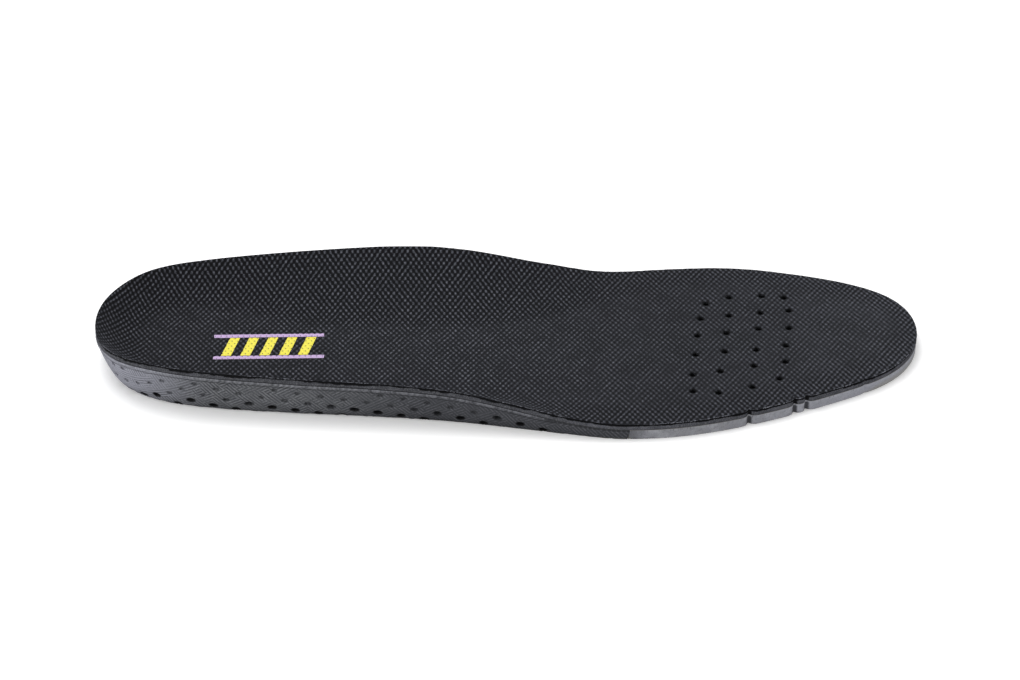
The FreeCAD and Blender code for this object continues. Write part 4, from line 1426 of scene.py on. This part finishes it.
def rear_material():
    m = Material("heel_arch_foam")
    chart = m.attribute("chart")
    climb, marks, mixed = m.split(m.attribute("tint"))
    x, y, t = m.split(chart)
    colour, foam_grain = m.foam(chart, srgb(88, 90, 94), srgb(102, 104, 107), fine=2.6)
    pits = m.pits(chart, fine=2.6)
    wall = m.ramp(climb, low=0.002, high=0.035)
    highlight_line = m.math("MAXIMUM", m.add(marks, -1.0), 0.0)
    shade_line = m.math("MAXIMUM", m.mul(marks, -1.0), 0.0)
    lip = m.math("MAXIMUM", m.mul(mixed, -1.0), 0.0)
    hole = m.math("MAXIMUM", mixed, 0.0)
    level = rear_level_colour(m, chart, x, y, marks)
    # broad tones of the wall, mostly painted light and shade
    # painted light on the inner (arch) wall, which faces up toward the light
    inner = m.ramp(y, low=2.0, high=20.0)
    colour = m.paint(colour, srgb(136, 138, 137), inner, amount=0.80)
    outer = m.inverse(m.ramp(y, low=-30.0, high=8.0))
    # painted shade on the outer wall, growing from the heel cup's front toward the midfoot
    middle = m.mul(m.ramp(x, low=-80.0, high=-25.0), outer)
    colour = m.paint(colour, srgb(64, 65, 70), middle, amount=0.85)
    # paler lilac heel end: partly the foam's own tone, partly painted light from the left
    heel = m.ramp(m.mul(x, -1.0), low=100.0, high=140.0)
    heel_tone_and_light = m.mix(wall, srgb(150, 152, 151), srgb(164, 165, 177))
    colour = m.paint(colour, heel_tone_and_light, heel, amount=0.92)
    # painted shade toward the foot of the outer wall, where it rolls under
    foot = m.mul(m.inverse(m.ramp(t, low=0.6, high=6.5)), outer)
    colour = m.paint(colour, srgb(40, 41, 45), foot, amount=0.32)
    # fine herringbone the wall takes from the mould
    way = m.ramp(m.noise(chart, scale=0.20, detail=1.5), low=0.44, high=0.56)
    fx, fy = m.mul(x, 2 * math.pi * 0.57), m.mul(y, 2 * math.pi * 0.66)
    one_way = m.math("SINE", m.add(fx, fy))
    other_way = m.math("SINE", m.math("SUBTRACT", fx, fy))
    bone = m.add(m.mul(one_way, way), m.mul(other_way, m.inverse(way)))
    bone = m.jitter(bone, m.noise(chart, scale=1.5, detail=3.0, rough=0.65), amount=3.4)
    clear = m.linear(m.ramp(m.noise(chart, scale=0.11), low=0.35, high=0.65),
                     gain=0.5, offset=0.5)
    fine = m.mul(m.mul(clear, m.linear(middle, gain=-0.45, offset=1.0)), wall)
    dark_bone = m.mul(m.ramp(bone, low=-0.6, high=1.1), fine)
    colour = m.paint(colour, srgb(46, 47, 52), dark_bone, amount=0.66)
    light_bone = m.mul(m.ramp(m.mul(bone, -1.0), low=0.1, high=1.3), fine)
    bone_colour = m.mix(inner, srgb(158, 159, 168), srgb(172, 173, 170))
    colour = m.paint(colour, bone_colour, light_bone, amount=0.42)
    # the level part, except round the heel, with its lines of painted highlight and painted shade
    round_heel = m.inverse(m.ramp(x, low=-78.0, high=-62.0))
    colour = m.mix(m.math("MAXIMUM", wall, round_heel), level, colour)
    colour = m.paint(colour, srgb(150, 150, 147), highlight_line, amount=0.55)
    colour = m.paint(colour, srgb(18, 18, 19), shade_line, amount=0.90)
    # ragged pale lip with painted shade under it, below the backing's edge and on the wall's top
    # edge
    torn = m.noise(chart, scale=0.42, detail=4.0, rough=0.75)
    pale = m.mul(m.ramp(m.jitter(lip, torn, amount=2.6), low=0.45, high=1.25),
                 m.ramp(lip, low=0.1, high=0.4))
    colour = m.paint(colour, srgb(140, 141, 148), pale, amount=0.55)
    under = m.math("SUBTRACT", m.ramp(lip, low=0.02, high=0.15), m.ramp(lip, low=0.35, high=0.75))
    colour = m.paint(colour, srgb(34, 35, 38), under, amount=0.60)
    # holes: black inside, the backing's black seen through with painted shade on the hole walls,
    # and painted shade round the edge
    deep = m.ramp(hole, low=0.35, high=1.0)
    colour = m.paint(colour, srgb(7, 7, 8), deep, amount=0.97)
    around = m.mul(m.ramp(hole, low=0.02, high=0.30), 0.55)
    colour = m.paint(colour, srgb(36, 37, 40), m.inverse(deep), amount=around)
    colour = m.paint(colour, srgb(50, 51, 54), pits, amount=0.22)
    height = m.add(m.math("SUBTRACT", m.mul(foam_grain, 0.5), m.mul(pits, 0.5)),
                   m.mul(m.mul(bone, wall), -0.45))
    return m.finish(Base_Color=colour, Roughness=0.82, Normal=m.bump(height, depth=0.11),
                    Specular_IOR_Level=0.22)


def fore_cut_colour(m, chart, x):
    """Trimmed edge of the forefoot, darker at its rear and paler toward the toe."""
    cut, _ = m.foam(chart, srgb(150, 151, 157), srgb(172, 173, 180), fine=3.0)
    blot = m.noise(chart, scale=0.75, detail=4.0, rough=0.7)
    cut = m.paint(cut, srgb(112, 113, 119), m.ramp(blot, low=0.48, high=0.70), amount=0.50)
    cut = m.paint(cut, srgb(186, 187, 199), m.ramp(x, low=60.0, high=135.0), amount=0.60)
    rear = m.inverse(m.ramp(m.jitter(x, blot, amount=12.0), low=38.0, high=49.0))
    return m.paint(cut, srgb(70, 71, 76), rear, amount=0.72)


def fore_material():
    m = Material("forefoot_foam")
    chart = m.attribute("chart")
    trimmed, ribbed, mixed = m.split(m.attribute("tint"))
    x, y, _ = m.split(chart)
    grain, pits = m.grain(chart, fine=2.4), m.pits(chart, fine=2.4)
    flat = m.mix(m.ramp(m.noise(chart, scale=0.05), low=0.3, high=0.7),
                 srgb(134, 132, 126), srgb(141, 139, 133))
    flat = m.paint(flat, srgb(176, 175, 169), m.ramp(x, low=65.0, high=130.0), amount=0.38)
    cut, cut_pits = fore_cut_colour(m, chart, x), m.pits(chart, fine=3.0)
    flank = m.mix(m.ramp(m.noise(chart, scale=0.12), low=0.3, high=0.7),
                  srgb(166, 166, 162), srgb(174, 174, 170))
    # ribs of the sole, crossed by a second set toward the toe and on the flank, with painted
    # shade in their grooves
    main, cross = m.stripes(x, y, RIBS), m.stripes(x, y, CROSS_RIBS)
    far = m.mul(m.ramp(x, low=76.0, high=100.0), 0.9)
    lined = m.add(m.mul(main, m.linear(far, gain=-0.35, offset=1.0)),
                  m.mul(cross, m.linear(far, gain=0.55, offset=0.30)))
    lined = m.jitter(lined, m.noise(chart, scale=1.6), amount=1.0)
    valley_shade = m.mul(m.ramp(m.mul(lined, -1.0), low=-0.5, high=1.0), ribbed)
    flat = m.paint(flat, srgb(88, 87, 82), valley_shade, amount=0.68)
    valley_shade = m.ramp(m.mul(m.add(main, cross), -1.0), low=-0.4, high=1.4)
    flank = m.paint(flank, srgb(118, 118, 114), valley_shade, amount=0.40)
    colour = m.mix(m.math("MAXIMUM", mixed, 0.0), flat, flank)
    colour = m.mix(trimmed, colour, cut)
    dark = m.mul(m.mul(cut_pits, 0.65), m.ramp(trimmed, low=0.1, high=0.6))
    colour = m.mix(dark, colour, srgb(62, 63, 67))
    # painted shade along the seam, at the tag's edges and in the trim notches
    line = m.ramp(m.mul(mixed, -1.0), low=0.1, high=0.9)
    colour = m.paint(colour, srgb(40, 41, 45), line, amount=0.80)
    colour = m.paint(colour, srgb(96, 94, 88), pits, amount=0.12)
    height = m.math("SUBTRACT", m.mul(grain, 0.5), m.add(m.mul(pits, 0.3), m.mul(dark, 1.2)))
    return m.finish(Base_Color=colour, Roughness=0.86, Normal=m.bump(height, depth=0.10),
                    Specular_IOR_Level=0.2)


def gel_material():
    m = Material("blue_gel")
    chart = m.attribute("chart")
    edge = m.split(m.attribute("tint"))[0]
    cloud = m.noise(chart, scale=0.12, detail=3.0)
    ripple = m.noise(chart, scale=1.4)
    colour = m.mix(m.ramp(cloud, low=0.3, high=0.7), srgb(133, 181, 219), srgb(137, 185, 223))
    # painted highlight along the pad's rounded edge
    colour = m.paint(colour, srgb(206, 228, 246), edge, amount=0.6)
    return m.finish(Base_Color=colour, Roughness=m.linear(ripple, gain=0.18, offset=0.22),
                    Subsurface_Weight=0.35, Subsurface_Scale=0.002,
                    Subsurface_Radius=(0.6, 0.9, 1.2), Specular_IOR_Level=0.5, Coat_Weight=0.15,
                    Normal=m.bump(ripple, depth=0.04, strength=0.6))


def frame_material():
    m = Material("navy_frame")
    grain = m.noise(m.attribute("chart"), scale=2.2, detail=3.0)
    # dark navy darkened nearly to black: the frame's own navy with painted shade from the groove
    # round the pad
    colour = m.mix(m.ramp(grain, low=0.3, high=0.75), srgb(6, 8, 18), srgb(11, 14, 30))
    return m.finish(Base_Color=colour, Roughness=m.linear(grain, gain=0.2, offset=0.42),
                    Normal=m.bump(grain, depth=0.04, strength=0.6), Specular_IOR_Level=0.28)


def print_material(name, a, b):
    """Ink on the knit, with the cloth showing in its pores."""
    m = Material(name)
    chart = m.attribute("chart")
    x, y = m.knit_axes(chart)
    knit = m.mul(m.math("COSINE", m.mul(x, math.pi / KNIT_X)),
                 m.math("COSINE", m.mul(y, math.pi / KNIT_Y)))
    speck = m.noise(chart, scale=5.0)
    knit = m.jitter(knit, speck, amount=0.5)
    colour = m.mix(m.ramp(speck, low=0.35, high=0.7), a, b)
    colour = m.paint(colour, srgb(60, 60, 62), m.ramp(knit, low=0.55, high=0.95), amount=0.75)
    return m.finish(Base_Color=colour, Roughness=0.6, Specular_IOR_Level=0.3,
                    Normal=m.bump(m.mul(knit, -1.0), depth=0.06, strength=0.6))


def floor_material():
    """To the eye the floor is overexposed: it glows to the camera, a faint glow near the insole
    lightening its cast shadow as painted light, and far off it runs into the white of the studio.
    """
    m = Material("floor_white")
    to_eye = m.node("LightPath").outputs["Is Camera Ray"]
    pale = m.mix(m.noise(None, scale=0.7), (0.94, 0.94, 0.94, 1), (0.96, 0.96, 0.96, 1))
    spot = m.node("NewGeometry").outputs["Position"]
    reach = m.node("VectorMath", {0: spot}, operation="LENGTH").outputs["Value"]
    distant = m.ramp(reach, low=0.55, high=1.5)
    pale = m.mix(distant, pale, (0.0, 0.0, 0.0, 1))
    # painted light: a glow seen only by the camera, faint near the insole where it lifts the
    # shadow, full white far off
    glow = m.linear(distant, gain=0.86, offset=0.14)
    return m.finish(Base_Color=m.mix(to_eye, (0.45, 0.45, 0.45, 1), pale), Roughness=0.9,
                    Specular_IOR_Level=0.0, Emission_Color=(1.0, 1.0, 1.0, 1),
                    Emission_Strength=m.mul(glow, to_eye))


# ---------------------------------------------------------------- the pieces
# name, builder, materials, sharp angle, CAD pieces replaced, slot, whether the forefoot bends it
PIECES = (
    ("top_cover_cloth", make_cover, [cloth_material()], 60,
     ("top_cover_rear", "top_cover_fore"), "cover_cloth", True),
    ("backing_foam_sheet", make_backing, [backing_material()], 60,
     ("backing_foam_rear", "backing_foam_fore"), "backing_foam", True),
    ("heel_arch_base_foam", make_rear_base, [rear_material()], 55,
     ("heel_arch_base",), "heel_foam", False),
    ("forefoot_base_foam", make_fore_base, [fore_material()], 55,
     ("forefoot_base_rear", "forefoot_base_fore"), "forefoot_foam", True),
    ("heel_gel_cushion", make_gel, [gel_material()], 50, ("heel_gel_pad",), "gel", False),
    ("gel_pocket_surround", make_frame, [frame_material()], 50,
     ("gel_pocket_frame",), "pocket_frame", False),
    ("heel_print", make_print,
     [print_material("print_lilac", srgb(176, 150, 192), srgb(190, 168, 204)),
      print_material("print_yellow", srgb(216, 205, 66), srgb(228, 219, 88))], 40,
     ("heel_transfer_mark",), "print", False),
)

made = [(build().make(name, materials, sharp), replaced, slot, bends)
        for name, build, materials, sharp, replaced, slot, bends in PIECES]
for ob, replaced, _, _ in made:
    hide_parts(*replaced)
for ob, _, _, bends in made:
    if bends:
        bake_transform(ob)
for ob, _, _, bends in made:
    if not bends:
        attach(ob, "rear")


# ---------------------------------------------------------------- floor, light, camera
def make_floor():
    bpy.ops.mesh.primitive_plane_add(size=12.0, location=(0, 0, 0))
    floor = bpy.context.object
    floor.name = "floor"
    floor.data.materials.append(floor_material())


def make_world():
    """White to the camera, dimmer as a light."""
    world = bpy.data.worlds.new("studio")
    bpy.context.scene.world = world
    world.use_nodes = True
    nodes, links = world.node_tree.nodes, world.node_tree.links
    nodes.clear()
    output, mix = nodes.new("ShaderNodeOutputWorld"), nodes.new("ShaderNodeMixShader")
    path = nodes.new("ShaderNodeLightPath")
    links.new(path.outputs["Is Camera Ray"], mix.inputs[0])
    for socket, strength in ((1, 0.62), (2, 1.0)):
        background = nodes.new("ShaderNodeBackground")
        background.inputs["Color"].default_value = (1, 1, 1, 1)
        background.inputs["Strength"].default_value = strength
        links.new(background.outputs[0], mix.inputs[socket])
    links.new(mix.outputs[0], output.inputs[0])


def soft_light(name, location, target, size, power):
    light = bpy.data.lights.new(name, "AREA")
    light.shape, light.size, light.energy = "SQUARE", size, power
    ob = bpy.data.objects.new(name, light)
    bpy.context.collection.objects.link(ob)
    ob.location = location
    toward = Vector(target) - Vector(location)
    ob.rotation_euler = toward.to_track_quat("-Z", "Y").to_euler()


def make_camera(azimuth, elevation, roll, aim, distance, lens):
    """Camera aimed at a point from an azimuth off -Y, with its angles in degrees."""
    az, el, roll = math.radians(azimuth), math.radians(elevation), math.radians(roll)
    back = Vector((math.sin(az) * math.cos(el), -math.cos(az) * math.cos(el), math.sin(el)))
    right = Vector((math.cos(az), math.sin(az), 0))
    up = right.cross(-back)
    rolled_right = right * math.cos(roll) + up * math.sin(roll)
    rolled_up = -right * math.sin(roll) + up * math.cos(roll)
    data = bpy.data.cameras.new("camera")
    data.sensor_width, data.lens = 36.0, lens
    data.clip_start, data.clip_end = 0.02, 60.0
    camera = bpy.data.objects.new("camera", data)
    bpy.context.collection.objects.link(camera)
    matrix = Matrix((rolled_right, rolled_up, back)).transposed().to_4x4()
    matrix.translation = Vector(aim) + back * distance
    camera.matrix_world = matrix
    bpy.context.scene.camera = camera


make_floor()
make_world()
soft_light("key", location=(-0.25, 0.35, 1.25), target=(0, 0, 0), size=0.9, power=11.5)
soft_light("left", location=(-1.10, -0.50, 0.38), target=(-0.1, 0, 0), size=0.7, power=7.0)
soft_light("fill", location=(0.7, -1.1, 0.9), target=(0, 0, 0), size=0.9, power=2.4)
make_camera(azimuth=-2.93, elevation=35.08, roll=0.93, aim=(0.0, 0.001, 0.008),
            distance=1.146, lens=117.0)
bpy.context.scene.view_settings.view_transform = "Standard"
bpy.context.scene.view_settings.look = "None"

bpy.context.view_layer.update()
